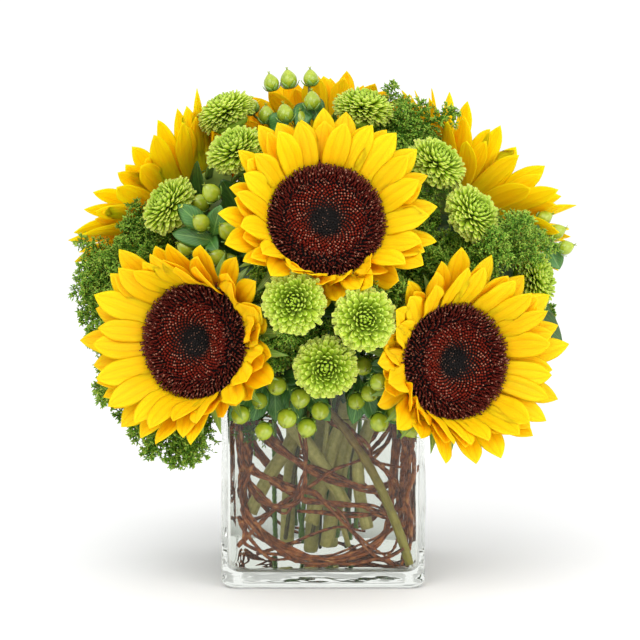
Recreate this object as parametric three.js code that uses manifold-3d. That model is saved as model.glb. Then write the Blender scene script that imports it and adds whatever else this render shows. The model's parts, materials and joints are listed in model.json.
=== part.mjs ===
// Sunflowers in a square glass vase, with button chrysanthemums, hypericum, goldenrod and curly willow.
// Millimetres, +Z up. The origin is the centre of the vase's underside, and -Y is the front of the bouquet.
import * as THREE from "three";
import { mergeVertices } from "three/addons/utils/BufferGeometryUtils.js";
import Module from "manifold-3d";

const wasm = await Module();
wasm.setup();

// ---------- driving dimensions ----------
const GAP = 0.35; // least distance between neighbouring pieces
const NODE_DETAIL = 0.02; // shorter edges than this are closed up in a fused piece

const VASE_SIDE = 127;
const VASE_WALL = 5;
const VASE_FLOOR = 9;
const VASE_CORNER = 9;
const INNER_CORNER = 7;
const VASE_EDGE = 2.5;
const WATER_TOP = 105;

const DISC_RADIUS = 34.5;
const DISC_SIDES = 12;
const DISC_RELIEF = 1.6;
const DISC_UNDER = -5; // the disc's underside, below the plane of its edge
const RING_SIDES = 8;
const RING_TOP = 1.5;
const RING_WIDTH = 5.4;
const RAYS = 16;
const RAY_LENGTH = 38;
const RAY_WIDTH = 18.5;
const RAY_THICK = 0.9;
const LIFT_CHANCE = 4; // degrees
const LENGTH_CHANCE = 0.12;
const LAYER_LIFT = 9; // how far each layer of petals lies from the flower's own lift, in degrees
const CUP_SIDES = 9;
const CUP_DEPTH = 15;
const CUP_SINK = 0.8; // how deep in the cup its stem ends, as a share of the cup's depth
const BRACTS = 7;
const BRACT_LENGTH = 24;
const BRACT_WIDTH = 11;
const BRACT_THICK = 1;
const SUNFLOWER_STEM = 5;

const MUM_RADIUS = 17.8;
const MUM_RELIEF = 1.4;
const MUM_COLUMNS = 10;
const MUM_ROWS = 6;
const MUM_FLATTEN = 0.8;
const MUM_UNDER = 0.6; // the flat underside's depth below the centre, as a share of the radius
const MUM_STEM = 2.2;
const MUM_TWIG = 1.8;

const BERRY_RADIUS = 5.6;
const BERRY_POINT = 1.96;
const HEAD_SINK = 0.3; // how far below a head's centre its stem ends, as a share of its radius
const BERRY_STEM = 1.8;
const BERRY_TWIG = 1.3;

const PLUME_RADIUS = 10;
const PLUME_RELIEF = 3.2;
const PLUME_LENGTH = 62;
const PLUME_OUTLINE = [[0.12, 0.6], [0.36, 0.85], [0.66, 0.55], [1, 0.08]]; // shares of length and radius
const PLUME_STEM = 1.9;
const PLUME_TWIG = 1.3;

const LEAF_THICK = 0.9;
const LEAF_FOLD = 0.25; // how far a leaf's sides rise from its middle, as a share of its width
const LEAF_ARCH = 0.1;

const WILLOW_RADIUS = 2.1;
const CANE_RADIUS = 2.8;
const STRAND_STEPS = 1.3; // for each corner of a strand's route
const WILLOW_LAYERS = [55.2, 50.2, 45.2]; // from the vase's axis to the strands, from the glass inwards

const MOUTH_Z = 118; // where the stems bend out of their straight run in the vase
const STEM_REACH = 41; // half the width of the bundle of stems there
const STEM_SPACE = 3.4; // between two stems there
const SLOT_REACH = 0.85; // the outermost stems' place there, as a share of that half width
const FLAT_TILT = 95; // degrees from upright at which a flower's stem is an outermost one
const STEM_TURN = -40; // the bundle's turn from mouth to foot, in degrees
const STEM_DRAW = 0.92; // the bundle's width at the feet as a share of its width at the mouth
const FOOT_LOW = 12;
const FOOT_STEP = 3.5;
const HEART_SPREAD = 1.3; // a spray forks between its heads and a point above the mouth, spread by this
const HEART_RISE = 25;
const FORK_PULL = 0.35; // how straight a stem runs on to its fork
const BRANCH_BOW = 0.12;
const WATER_CLEAR = 1.15; // the room round a stem in the water, in gaps
const DOME_CENTRE = new THREE.Vector3(0, 0, 160);

// The centre of each seed disc, the way it faces, and the lift of its petals in degrees.
const SUNFLOWERS = [
  { at: [1.5, -96, 232], face: [0.1, -0.9, 0.42], lift: 47 },
  { at: [-77, -90, 159], face: [-0.46, -0.88, 0.1], lift: 44 },
  { at: [79, -88, 146], face: [0.46, -0.88, 0.08], lift: 44 },
  { at: [-91, 20, 231], face: [-0.68, 0.35, 0.62], lift: 32 },
  { at: [91, 20, 231], face: [0.7, 0.3, 0.62], lift: 32 },
  { at: [2, 56, 255], face: [0, 0.78, 0.62], lift: 30 },
];

// The centres of the heads on each branching chrysanthemum stem.
const MUM_SPRAYS = [
  { tips: [[-61, -10, 293], [-53, -55, 272], [-94, -55, 238]] },
  { tips: [[25, -20, 296], [69, -58, 264]] },
  { tips: [[90, -72, 234], [131, -40, 191]] },
  { tips: [[-17, -129, 187], [24, -127, 177], [1.5, -116, 147]] },
  { tips: [[-45, 112, 218], [-92, 80, 170]] },
  { tips: [[48, 110, 214], [4, 125, 168], [92, 82, 172]] },
];

// The centres of the berries on each hypericum stem.
const BERRY_SPRAYS = [
  { tips: [[-68, -70, 247], [-74, -72, 229], [-58, -72, 224], [-84, -64, 213], [-64, -74, 208]] },
  {
    tips: [
      [-46, -90, 130], [-28, -92, 132], [-50, -90, 114], [-36, -90, 104], [-22, -92, 112], [-2, -88, 116],
    ],
  },
  { tips: [[24, -92, 144], [28, -94, 128], [33, -110, 137], [34, -88, 109], [44, -82, 114]] },
  { tips: [[-33, 8, 311], [-22, 10, 313], [-8, 8, 314], [-7, -6, 300], [-24, -6, 292]] },
  { tips: [[138, -24, 228], [146, -28, 220], [151, -30, 210], [140, -20, 212]] },
  { tips: [[-20, 100, 258], [-6, 112, 250], [4, 118, 232]] },
  { tips: [[-44, 118, 158], [-30, 122, 142], [-56, 108, 136], [-12, 112, 128]] },
];

// The tips of the plumes on each goldenrod stem, and where it forks if that isn't half way to them.
const PLUME_SPRAYS = [
  { tips: [[-152, -24, 214], [-156, -28, 182], [-130, -30, 240]] },
  { tips: [[-108, -72, 86], [-142, -40, 122], [-92, -60, 78]], fork: [-74, -46, 142] },
  { tips: [[62, -22, 300], [44, 20, 310], [84, -6, 288]] },
  { tips: [[126, -62, 232], [112, -86, 212], [66, -84, 214]] },
  { tips: [[-38, -112, 204], [-28, -118, 166], [50, -116, 196]] },
  { tips: [[140, 40, 190], [146, -4, 168], [128, 66, 214]] },
  { tips: [[-130, 56, 196], [-146, 20, 168]] },
  { tips: [[-70, 104, 240], [-30, 132, 190], [-100, 92, 130]] },
  { tips: [[78, 92, 250], [56, 126, 152]] },
];

// Leaves on the sunflowers' stems, from a point of the stem's curve.
const FLOWER_LEAVES = [
  { flower: 3, point: 5, tip: [-78, -32, 264], width: 28 },
  { flower: 4, point: 4, tip: [152, -22, 158], width: 26 },
];

// Leaves on the branches of the chrysanthemum stems.
const SPRAY_LEAVES = [
  { spray: 4, branch: 0, tip: [-66, 118, 172], width: 26 },
  { spray: 4, branch: 1, tip: [-72, 100, 120], width: 24 },
  { spray: 5, branch: 1, tip: [26, 136, 124], width: 26 },
  { spray: 5, branch: 2, tip: [76, 102, 120], width: 24 },
];

// Willow strands: the layer, and the route as degrees round the vase (-90 is the front) and heights.
const STRANDS = [
  {
    layer: 2,
    route: [
      [-158, 116], [-138, 99], [-118, 84], [-96, 71], [-72, 63], [-50, 60], [-24, 68], [4, 88], [24, 116],
    ],
  },
  {
    layer: 1,
    route: [
      [-38, 114], [-43, 82], [-46, 50], [-56, 27], [-84, 16], [-114, 24], [-146, 44], [178, 66], [152, 100],
    ],
  },
  {
    layer: 0,
    route: [[-128, 118], [-142, 92], [-134, 66], [-118, 50], [-104, 58], [-101, 84], [-110, 117]],
  },
  { layer: 0, route: [[150, 116], [136, 80], [112, 44], [84, 26], [52, 28], [26, 48], [6, 82], [-6, 114]] },
  { layer: 1, route: [[40, 112], [58, 76], [84, 58], [112, 66], [134, 106]] },
];
const CANE = [[-8, -55, 122], [50, -55, 16]]; // the straight cane's ends

const YELLOW = { color: 0xffc60a, roughness: 0.55, metalness: 0 };
const SEED = { color: 0x3a1410, roughness: 0.85, metalness: 0 };
const STEM_GREEN = { color: 0x7f9440, roughness: 0.6, metalness: 0 };
const LIME = { color: 0xa9cf30, roughness: 0.6, metalness: 0 };
const BERRY_GREEN = { color: 0x8fb030, roughness: 0.35, metalness: 0 };
const BUD_GREEN = { color: 0x4f8a25, roughness: 0.8, metalness: 0 };
const WILLOW = { color: 0x6e4530, roughness: 0.7, metalness: 0 };
const GLASS = { color: 0xe8f0ee, roughness: 0.05, metalness: 0, transparent: true, opacity: 0.35 };
const WATER = { color: 0xdcebe6, roughness: 0.02, metalness: 0, transparent: true, opacity: 0.3 };

// ---------- worked out from them ----------
const UP = new THREE.Vector3(0, 0, 1);
const TURN = 2 * Math.PI;
const INSIDE = VASE_SIDE / 2 - VASE_WALL;
const RING_INNER = (DISC_RADIUS + 1.5 * GAP) / Math.cos(Math.PI / RING_SIDES);
const RING_OUTER = RING_INNER + RING_WIDTH;
const CUP_TOP = DISC_UNDER - 1.3 * GAP;
const degrees = THREE.MathUtils.degToRad;
const vec = (p) => new THREE.Vector3(p[0], p[1], p[2]);
const outward = (p) => p.clone().sub(DOME_CENTRE).normalize();
const sumOf = (points) => points.reduce((sum, p) => sum.add(p), new THREE.Vector3());
const centreOf = (points) => sumOf(points).divideScalar(points.length);

// ---------- solids ----------
function volumeOf(position, index) {
  const [a, b, c] = [new THREE.Vector3(), new THREE.Vector3(), new THREE.Vector3()];
  let sum = 0;
  for (let i = 0; i < index.length; i += 3) {
    a.fromBufferAttribute(position, index[i]);
    b.fromBufferAttribute(position, index[i + 1]);
    c.fromBufferAttribute(position, index[i + 2]);
    sum += a.dot(b.cross(c)) / 6;
  }
  return sum;
}

// A closed geometry as a solid, without its empty triangles and turned to face outwards.
function solidOf(geometry) {
  const bare = geometry.clone();
  bare.deleteAttribute("normal");
  bare.deleteAttribute("uv");
  const merged = mergeVertices(bare, 1e-3);
  const all = merged.index.array;
  const kept = [];
  for (let i = 0; i < all.length; i += 3) {
    const [a, b, c] = [all[i], all[i + 1], all[i + 2]];
    if (a !== b && b !== c && c !== a) kept.push(a, b, c);
  }
  if (volumeOf(merged.attributes.position, kept) < 0) kept.reverse();
  const vertProperties = new Float32Array(merged.attributes.position.array);
  return new wasm.Manifold(new wasm.Mesh({ numProp: 3, vertProperties, triVerts: new Uint32Array(kept) }));
}

function geometryOf(solid) {
  const mesh = solid.getMesh();
  return new THREE.BufferGeometry()
    .setAttribute("position", new THREE.BufferAttribute(new Float32Array(mesh.vertProperties), 3))
    .setIndex(new THREE.BufferAttribute(new Uint32Array(mesh.triVerts), 1));
}

// Moves every vertex of a geometry by a rule.
function reshape(geometry, rule) {
  const position = geometry.attributes.position;
  const p = new THREE.Vector3();
  for (let i = 0; i < position.count; i++) {
    p.fromBufferAttribute(position, i);
    const q = rule(p);
    position.setXYZ(i, q.x, q.y, q.z);
  }
  return geometry;
}

// The direction along a row of points at each of them.
function directions(points) {
  return points.map((_, i) => {
    const before = points[Math.max(i - 1, 0)];
    const after = points[Math.min(i + 1, points.length - 1)];
    return after.clone().sub(before).normalize();
  });
}

// A round bar along a row of points, with a radius at each. Its relief raises every other facet's
// corner, from the row "plain" on.
function bar(points, radii, facets, relief = 0, plain = 0) {
  const rows = points.length - 1;
  const along = directions(points);
  let side = Math.abs(along[0].x) > 0.9 ? new THREE.Vector3(0, 1, 0) : new THREE.Vector3(1, 0, 0);
  const sides = along.map((t) => {
    side = side.clone().addScaledVector(t, -side.dot(t)).normalize();
    return side;
  });
  return reshape(new THREE.CylinderGeometry(1, 1, 1, facets, rows), (p) => {
    const row = Math.round((p.y + 0.5) * rows);
    const facet = Math.round((Math.atan2(p.x, p.z) / TURN) * facets + facets);
    const raised = (facet + row) % 2 === 0 && row >= plain && row < rows ? relief : 0;
    const radius = Math.hypot(p.x, p.z) < 0.5 ? 0 : radii[row] + raised;
    const angle = (facet * TURN) / facets;
    return points[row].clone()
      .addScaledVector(sides[row], Math.cos(angle) * radius)
      .addScaledVector(along[row].clone().cross(sides[row]), Math.sin(angle) * radius);
  });
}

const evenBar = (points, radius, facets) => solidOf(bar(points, points.map(() => radius), facets));

// A flat blade along a row of points, with a width at each. Its sides rise towards "face" by "fold".
function blade(points, widths, thick, face, fold = 0) {
  const rows = points.length - 1;
  const along = directions(points);
  return reshape(new THREE.BoxGeometry(1, 1, 1, fold ? 2 : 1, rows, 1), (p) => {
    const row = Math.round((p.y + 0.5) * rows);
    const side = along[row].clone().cross(face).normalize();
    const out = side.clone().cross(along[row]);
    const rise = fold * widths[row] * (Math.abs(p.x) - 0.5);
    return points[row].clone()
      .addScaledVector(side, p.x * widths[row])
      .addScaledVector(out, p.z * thick - rise);
  });
}

// A turned solid from a closed profile of radius and height. Its relief raises every other corner of
// the first "raisedRows" rows after the middle.
function turned(profile, sides, relief = 0, raisedRows = 0) {
  const geometry = new THREE.LatheGeometry(profile.map(([r, z]) => new THREE.Vector2(r, z)), sides);
  const near = (a, b) => Math.abs(a - b) < 1e-3;
  return reshape(geometry.rotateX(Math.PI / 2), (p) => {
    const radius = Math.hypot(p.x, p.y);
    const row = profile.findIndex(([r, z]) => near(r, radius) && near(z, p.z));
    const column = Math.round((Math.atan2(p.y, p.x) / TURN) * sides + sides);
    if (row >= 1 && row <= raisedRows && (row + column) % 2) p.z += relief;
    return p;
  });
}

function squareShape(half, corner) {
  const shape = new THREE.Shape();
  const inner = half - corner;
  shape.moveTo(half, -inner);
  shape.absarc(inner, inner, corner, 0, TURN / 4, false);
  shape.absarc(-inner, inner, corner, TURN / 4, TURN / 2, false);
  shape.absarc(-inner, -inner, corner, TURN / 2, (TURN * 3) / 4, false);
  shape.absarc(inner, -inner, corner, (TURN * 3) / 4, TURN, false);
  return shape;
}

// A block with rounded upright corners and eased edges, from one height to another.
function easedBlock(half, corner, edge, low, high) {
  const depth = high - low - 2 * edge;
  const easing = { bevelThickness: edge, bevelSize: edge, bevelOffset: -edge, bevelSegments: 1 };
  const options = { depth, curveSegments: 3, ...easing };
  return new THREE.ExtrudeGeometry(squareShape(half, corner), options).translate(0, 0, low + edge);
}

// ---------- placing pieces clear of one another ----------
const pieces = []; // each solid with its node and its box

function apart(a, b) {
  return [0, 1, 2].some((axis) => a.min[axis] > b.max[axis] + GAP || b.min[axis] > a.max[axis] + GAP);
}

function isClear(node, solid) {
  const box = solid.boundingBox();
  return pieces.every((other) =>
    other.node === node || apart(box, other.box) || other.solid.minGap(solid, 2 * GAP) >= GAP);
}

function place(node, solid) {
  pieces.push({ node, solid, box: solid.boundingBox() });
}

// Tries each way of making a piece in turn, and places the first that is clear of all other nodes.
// A piece with no room is left out.
function placeFirst(node, ways) {
  for (const way of ways) {
    const solids = way();
    if (solids.every((solid) => isClear(node, solid))) {
      solids.forEach((solid) => place(node, solid));
      return;
    }
  }
}

// A repeatable draw between -0.5 and 0.5.
const draw = (seed) => THREE.MathUtils.seededRandom(seed) - 0.5;
function drawnShift(seed, size) {
  return new THREE.Vector3(draw(seed + 1), draw(seed + 2), draw(seed + 3)).multiplyScalar(size);
}

// ---------- vase and willow ----------
function buildVase() {
  const outer = solidOf(easedBlock(VASE_SIDE / 2, VASE_CORNER, VASE_EDGE, 0, VASE_SIDE));
  const above = VASE_SIDE + 2 * VASE_EDGE;
  const hollow = solidOf(easedBlock(INSIDE, INNER_CORNER, VASE_EDGE, VASE_FLOOR, above));
  place("vase", outer.subtract(hollow));
}

// The distance from the vase's axis to a rounded square of a given half side, at an angle.
function squareReach(half, angle) {
  const power = 5;
  return half / (Math.abs(Math.cos(angle)) ** power + Math.abs(Math.sin(angle)) ** power) ** (1 / power);
}

function onLayer(layer, angle, height) {
  const reach = squareReach(WILLOW_LAYERS[layer], angle);
  return new THREE.Vector3(Math.cos(angle) * reach, Math.sin(angle) * reach, height);
}

function strandPoints({ layer, route }) {
  const corners = route.map(([turn, height]) => onLayer(layer, degrees(turn), height));
  const curve = new THREE.CatmullRomCurve3(corners, false, "centripetal");
  const points = curve.getSpacedPoints(Math.round(route.length * STRAND_STEPS));
  return points.map((p) => onLayer(layer, Math.atan2(p.y, p.x), p.z));
}

const submerged = []; // the points, radius and facets of all that stands in the water

function buildWillow() {
  const even = { radius: WILLOW_RADIUS, facets: 5 };
  const canes = STRANDS.map((strand) => ({ points: strandPoints(strand), ...even }));
  canes.push({ points: CANE.map(vec), radius: CANE_RADIUS, facets: 5 });
  canes.forEach((cane, i) => {
    place(`willow_${i + 1}`, evenBar(cane.points, cane.radius, cane.facets));
    submerged.push(cane);
  });
}

// ---------- heads ----------
function headMatrix(at, face) {
  const turn = new THREE.Quaternion().setFromUnitVectors(UP, face);
  return new THREE.Matrix4().compose(at, turn, new THREE.Vector3(1, 1, 1));
}

function discGeometry() {
  const florets = [[0, -2], [7, -1], [16, 3.4], [25, 5.2], [DISC_RADIUS, 0]];
  return turned([...florets, [DISC_RADIUS, DISC_UNDER], [0, DISC_UNDER]], DISC_SIDES, DISC_RELIEF, 3);
}

function ringGeometry() {
  const low = [[RING_INNER, DISC_UNDER], [RING_OUTER, DISC_UNDER]];
  const high = [[RING_OUTER, RING_TOP], [RING_INNER, RING_TOP]];
  return turned([...low, ...high, low[0]], RING_SIDES);
}

function cupGeometry() {
  const under = CUP_TOP - CUP_DEPTH;
  const rim = [[0, CUP_TOP], [RING_OUTER, CUP_TOP], [RING_OUTER - 1, CUP_TOP - 4]];
  return turned([...rim, [22, under + 5], [7, under], [0, under]], CUP_SIDES);
}

function mumGeometry() {
  const geometry = new THREE.SphereGeometry(MUM_RADIUS, MUM_COLUMNS, MUM_ROWS).rotateX(Math.PI / 2);
  return reshape(geometry, (p) => {
    const polar = Math.acos(THREE.MathUtils.clamp(p.z / MUM_RADIUS, -1, 1));
    const row = Math.round((polar / Math.PI) * MUM_ROWS);
    const column = Math.round((Math.atan2(p.y, p.x) / TURN) * MUM_COLUMNS + MUM_COLUMNS);
    const isPole = row === 0 || row === MUM_ROWS;
    const raised = isPole ? 0 : MUM_RELIEF * ((row + column) % 2 ? 1 : -1);
    const out = p.clone().multiplyScalar((MUM_RADIUS + raised) / MUM_RADIUS);
    out.z = Math.max(out.z * MUM_FLATTEN, -MUM_RADIUS * MUM_UNDER);
    return out;
  });
}

function berryGeometry() {
  const geometry = new THREE.SphereGeometry(BERRY_RADIUS, 5, 4).rotateX(Math.PI / 2);
  return reshape(geometry, (p) => {
    if (p.z > BERRY_RADIUS * 0.99) p.z += BERRY_POINT;
    p.z = Math.max(p.z, -BERRY_RADIUS * Math.SQRT1_2);
    return p;
  });
}

function placeHeads(flowers, sprays) {
  for (const flower of flowers) {
    place(flower.disc, solidOf(discGeometry().applyMatrix4(flower.matrix)));
    place(flower.petals, solidOf(ringGeometry().applyMatrix4(flower.matrix)));
    place(flower.green, solidOf(cupGeometry().applyMatrix4(flower.matrix)));
  }
  for (const spray of sprays.filter((s) => s.head)) {
    for (const tip of spray.tips) {
      const head = spray.head().applyMatrix4(headMatrix(tip, outward(tip)));
      place(spray.node, solidOf(head));
    }
  }
}

// ---------- stems ----------
// A point of a stem's straight run in the vase. The whole bundle turns and draws in towards the feet,
// so that no two runs cross.
function runPoint(slot, height) {
  const share = (MOUTH_Z - height) / (MOUTH_Z - FOOT_LOW);
  const foot = slot.clone().applyAxisAngle(UP, degrees(STEM_TURN)).multiplyScalar(STEM_DRAW);
  const point = slot.clone().lerp(foot, share);
  point.z = height;
  return point;
}

// Straight from the foot to the mouth, then a smooth curve to the end, which it reaches along "face".
function stemPoints(slot, foot, end, face, firstPull, lastPull, steps) {
  const mouth = runPoint(slot, MOUTH_Z);
  const low = runPoint(slot, foot);
  const rise = mouth.clone().sub(low).normalize();
  const leave = mouth.clone().addScaledVector(rise, firstPull);
  const arrive = end.clone().addScaledVector(face, -lastPull);
  return [low, ...new THREE.CubicBezierCurve3(mouth, leave, arrive, end).getPoints(steps)];
}

function keepInBundle(slot, radius) {
  const limit = squareReach(STEM_REACH - radius, Math.atan2(slot.y, slot.x));
  slot.multiplyScalar(Math.min(limit / slot.length(), 1));
}

// Where each stem passes the mouth: towards its own flowers, pushed apart until none touch.
function mouthSlots(stems) {
  const slots = stems.map(({ target }) => {
    const flat = new THREE.Vector3(target.x, target.y, 0);
    const tilt = Math.atan2(flat.length(), target.z - MOUTH_Z);
    return flat.setLength(STEM_REACH * SLOT_REACH * Math.min(tilt / degrees(FLAT_TILT), 1));
  });
  for (let pass = 0; pass < 400; pass++) {
    for (let i = 0; i < slots.length; i++) {
      for (let j = 0; j < i; j++) {
        const between = slots[i].clone().sub(slots[j]);
        const lack = stems[i].radius + stems[j].radius + STEM_SPACE - between.length();
        if (lack <= 0) continue;
        between.setLength(lack / 2);
        slots[i].add(between);
        slots[j].sub(between);
      }
      keepInBundle(slots[i], stems[i].radius);
    }
  }
  return slots;
}

function placeFlowerStem(stem, slot, foot) {
  const { flower } = stem;
  const end = flower.at.clone().addScaledVector(flower.face, CUP_TOP - CUP_DEPTH * CUP_SINK);
  const ways = [];
  for (const last of [30, 40, 20, 50, 60]) {
    for (const first of [30, 45, 20, 60, 10]) {
      ways.push(() => {
        stem.points = stemPoints(slot, foot, end, flower.face, first, last, 5);
        return [evenBar(stem.points, stem.radius, stem.facets)];
      });
    }
  }
  placeFirst(flower.green, ways);
}

// A branch leaves the stem's last stretch, each a little lower than the one before, and bows outwards.
function branchPoints(stem, k, end, steps) {
  const last = stem.points.length - 1;
  const down = 0.05 + (0.9 * k) / stem.spray.tips.length;
  const start = stem.points[last].clone().lerp(stem.points[last - 1], down);
  const bow = start.clone().lerp(end, 0.5).addScaledVector(outward(end), start.distanceTo(end) * BRANCH_BOW);
  return new THREE.QuadraticBezierCurve3(start, bow, end).getPoints(steps);
}

// A stem to a fork, and a straight branch from there to each head.
function sprayStem(stem, slot, foot, attempt) {
  const { spray } = stem;
  const seed = attempt * 10;
  const heart = new THREE.Vector3(slot.x * HEART_SPREAD, slot.y * HEART_SPREAD, MOUTH_Z + HEART_RISE);
  const usual = spray.target.clone().lerp(heart, 0.5 + draw(seed + 1) * 0.5);
  const fork = (spray.fork ?? usual).clone().add(drawnShift(seed + 1, Math.min(attempt * 0.8, 50)));
  const pull = fork.distanceTo(new THREE.Vector3(slot.x, slot.y, MOUTH_Z)) * FORK_PULL;
  stem.points = stemPoints(slot, foot, fork, outward(spray.target), pull * (1 + draw(seed + 5)), pull, 4);
  const solids = [evenBar(stem.points, stem.radius, stem.facets)];
  spray.branches = [];
  if (!spray.head) return solids;
  for (const [k, tip] of spray.tips.entries()) {
    const end = tip.clone().addScaledVector(outward(tip), -spray.sink);
    const points = branchPoints(stem, k, end, 1);
    spray.branches.push(points);
    solids.push(evenBar(points, spray.twig, 3));
  }
  return solids;
}

function placeStems(stems) {
  mouthSlots(stems).forEach((slot, i) => {
    const stem = stems[i];
    const foot = FOOT_LOW + FOOT_STEP * (i % 5);
    if (stem.flower) {
      placeFlowerStem(stem, slot, foot);
    } else {
      const ways = Array.from({ length: 200 }, (_, attempt) => () => sprayStem(stem, slot, foot, attempt));
      placeFirst(stem.spray.node, ways);
    }
    submerged.push({ points: stem.points.slice(0, 2), radius: stem.radius, facets: stem.facets });
  });
}

// ---------- petals, bracts, plumes and leaves ----------
// A petal rises from the ring by its lift. The inner layer curls up along its length, the outer one down.
function rayGeometry(turn, isInner, lift, length) {
  const curl = isInner ? 6 : -6;
  const shares = isInner ? [0, 0.36, 0.74, 1] : [0, 0.5, 1];
  const outline = isInner ? [0.4, 1, 0.86, 0.14] : [0.5, 1, 0.14];
  const outwards = new THREE.Vector3(Math.cos(turn), Math.sin(turn), 0);
  const at = outwards.clone().multiplyScalar(DISC_RADIUS + (isInner ? 2.6 : 4));
  at.z = isInner ? RING_TOP - 0.8 : DISC_UNDER + 1.6;
  const points = [at];
  for (let i = 1; i < shares.length; i++) {
    const angle = degrees(lift + curl * (shares[i - 1] + shares[i] - 1));
    const step = (shares[i] - shares[i - 1]) * length;
    points.push(points[i - 1].clone()
      .addScaledVector(outwards, Math.cos(angle) * step)
      .addScaledVector(UP, Math.sin(angle) * step));
  }
  const face = outwards.clone().multiplyScalar(-Math.sin(degrees(lift)));
  face.addScaledVector(UP, Math.cos(degrees(lift)));
  return blade(points, outline.map((share) => share * RAY_WIDTH), RAY_THICK, face);
}

function placeRays(flower) {
  for (let i = 0; i < RAYS; i++) {
    const turn = ((i + 0.5) / RAYS) * TURN;
    const isInner = i % 2 === 1;
    const chance = draw(flower.seed + i);
    const lift = flower.lift + (isInner ? LAYER_LIFT : -LAYER_LIFT) + chance * LIFT_CHANCE;
    const length = RAY_LENGTH * (1 + LENGTH_CHANCE * chance);
    const ways = [];
    for (const reach of [1, 0.86, 0.72, 0.58, 0.42]) {
      for (const bend of [0, 8, -8, 16, -16, 24, -24, 32, -36]) {
        const ray = () => rayGeometry(turn, isInner, lift + bend, length * reach);
        ways.push(() => [solidOf(ray().applyMatrix4(flower.matrix))]);
      }
    }
    placeFirst(flower.petals, ways);
  }
}

function placeBracts(flower) {
  for (let i = 0; i < BRACTS; i++) {
    const turn = ((i + 0.5) / BRACTS) * TURN;
    const ways = [];
    for (const reach of [1, 0.8, 0.6, 0.45]) {
      for (const lift of [8, 0, -12, 16, -24, -40]) {
        const length = BRACT_LENGTH * reach;
        const root = new THREE.Vector3(RING_OUTER - 4, 0, DISC_UNDER - 3);
        const along = new THREE.Vector3(Math.cos(degrees(lift)), 0, Math.sin(degrees(lift)));
        const points = [root, root.clone().addScaledVector(along, length)];
        for (const point of points) point.applyAxisAngle(UP, turn);
        const bract = () => blade(points, [BRACT_WIDTH, BRACT_WIDTH / 8], BRACT_THICK, UP);
        ways.push(() => [solidOf(bract().applyMatrix4(flower.matrix))]);
      }
    }
    placeFirst(flower.green, ways);
  }
}

// A feathery plume at the end of its twig.
function plumeSolid(stem, k, tip, size) {
  const path = new THREE.CatmullRomCurve3(branchPoints(stem, k, tip, 4));
  const bare = Math.max(1 - PLUME_LENGTH / path.getLength(), 0.06);
  const shares = [0, bare];
  const radii = [PLUME_TWIG, PLUME_TWIG];
  for (const [share, radius] of PLUME_OUTLINE) {
    shares.push(bare + (1 - bare) * share);
    radii.push(radius * PLUME_RADIUS * size);
  }
  const points = shares.map((share) => path.getPointAt(Math.min(share, 1)));
  return solidOf(bar(points, radii, 6, PLUME_RELIEF * size, 2));
}

function placePlumes(stem) {
  const attempts = 60;
  for (const [k, tip] of stem.spray.tips.entries()) {
    const ways = Array.from({ length: attempts }, (_, attempt) => () => {
      const shifted = tip.clone().add(drawnShift(attempt * 7, attempt * 0.7));
      return [plumeSolid(stem, k, shifted, 1 - (0.5 * attempt) / attempts)];
    });
    placeFirst(stem.spray.node, ways);
  }
}

// A folded leaf with its widest part near the stem, arched between its ends.
function leafGeometry(from, to, width) {
  const along = to.clone().sub(from);
  const side = along.clone().cross(outward(to)).normalize();
  const face = side.clone().cross(along).normalize();
  const points = [0, 0.25, 0.5, 0.75, 1].map((share) => {
    const arch = Math.sin(share * Math.PI) * along.length() * LEAF_ARCH;
    return from.clone().addScaledVector(along, share).addScaledVector(face, arch);
  });
  const widths = [0.15, 1, 0.9, 0.55, 0.06].map((share) => share * width);
  return blade(points, widths, LEAF_THICK, face, LEAF_FOLD);
}

function placeLeaf(node, start, tip, width) {
  const ways = Array.from({ length: 80 }, (_, attempt) => () => {
    const shifted = vec(tip).add(drawnShift(attempt * 5, attempt));
    return [solidOf(leafGeometry(start, shifted, width * (1 - attempt / 200)))];
  });
  placeFirst(node, ways);
}

// ---------- water ----------
// A bar a little wider and longer than what stands in the water.
function waterHole({ points, radius, facets }) {
  const ends = points.map((p) => p.clone());
  const last = ends.length - 1;
  ends[0].addScaledVector(points[0].clone().sub(points[1]).normalize(), 0.5);
  ends[last].addScaledVector(points[last].clone().sub(points[last - 1]).normalize(), 0.5);
  return evenBar(ends, radius + (WATER_CLEAR * GAP) / Math.cos(Math.PI / facets), facets);
}

function buildWater() {
  const above = 2 * VASE_EDGE;
  const block = easedBlock(INSIDE - GAP, INNER_CORNER, VASE_EDGE, VASE_FLOOR + GAP, WATER_TOP + above);
  const cut = new THREE.BoxGeometry(VASE_SIDE, VASE_SIDE, 2 * above).translate(0, 0, WATER_TOP + above);
  const holes = wasm.Manifold.union(submerged.map(waterHole));
  place("water", solidOf(block).subtract(solidOf(cut)).subtract(holes));
}

// ---------- the bouquet ----------
const flowers = SUNFLOWERS.map(({ at, face, lift }, i) => {
  const name = `sunflower_${i + 1}`;
  const facing = vec(face).normalize();
  return {
    at: vec(at),
    face: facing,
    lift,
    matrix: headMatrix(vec(at), facing),
    seed: 100 * (i + 1),
    petals: `${name}_petals`,
    disc: `${name}_disc`,
    green: `${name}_stem`,
  };
});

const KINDS = [
  {
    name: "chrysanthemum", list: MUM_SPRAYS, radius: MUM_STEM, finish: LIME,
    head: mumGeometry, sink: MUM_RADIUS * HEAD_SINK, twig: MUM_TWIG,
  },
  {
    name: "hypericum", list: BERRY_SPRAYS, radius: BERRY_STEM, finish: BERRY_GREEN,
    head: berryGeometry, sink: BERRY_RADIUS * HEAD_SINK, twig: BERRY_TWIG,
  },
  { name: "goldenrod", list: PLUME_SPRAYS, radius: PLUME_STEM, finish: BUD_GREEN },
];
const sprays = KINDS.flatMap(({ name, list, ...kind }) => list.map((spray, i) => {
  const tips = spray.tips.map(vec);
  const fork = spray.fork && vec(spray.fork);
  return { ...kind, node: `${name}_${i + 1}`, tips, target: centreOf(tips), fork };
}));

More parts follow.
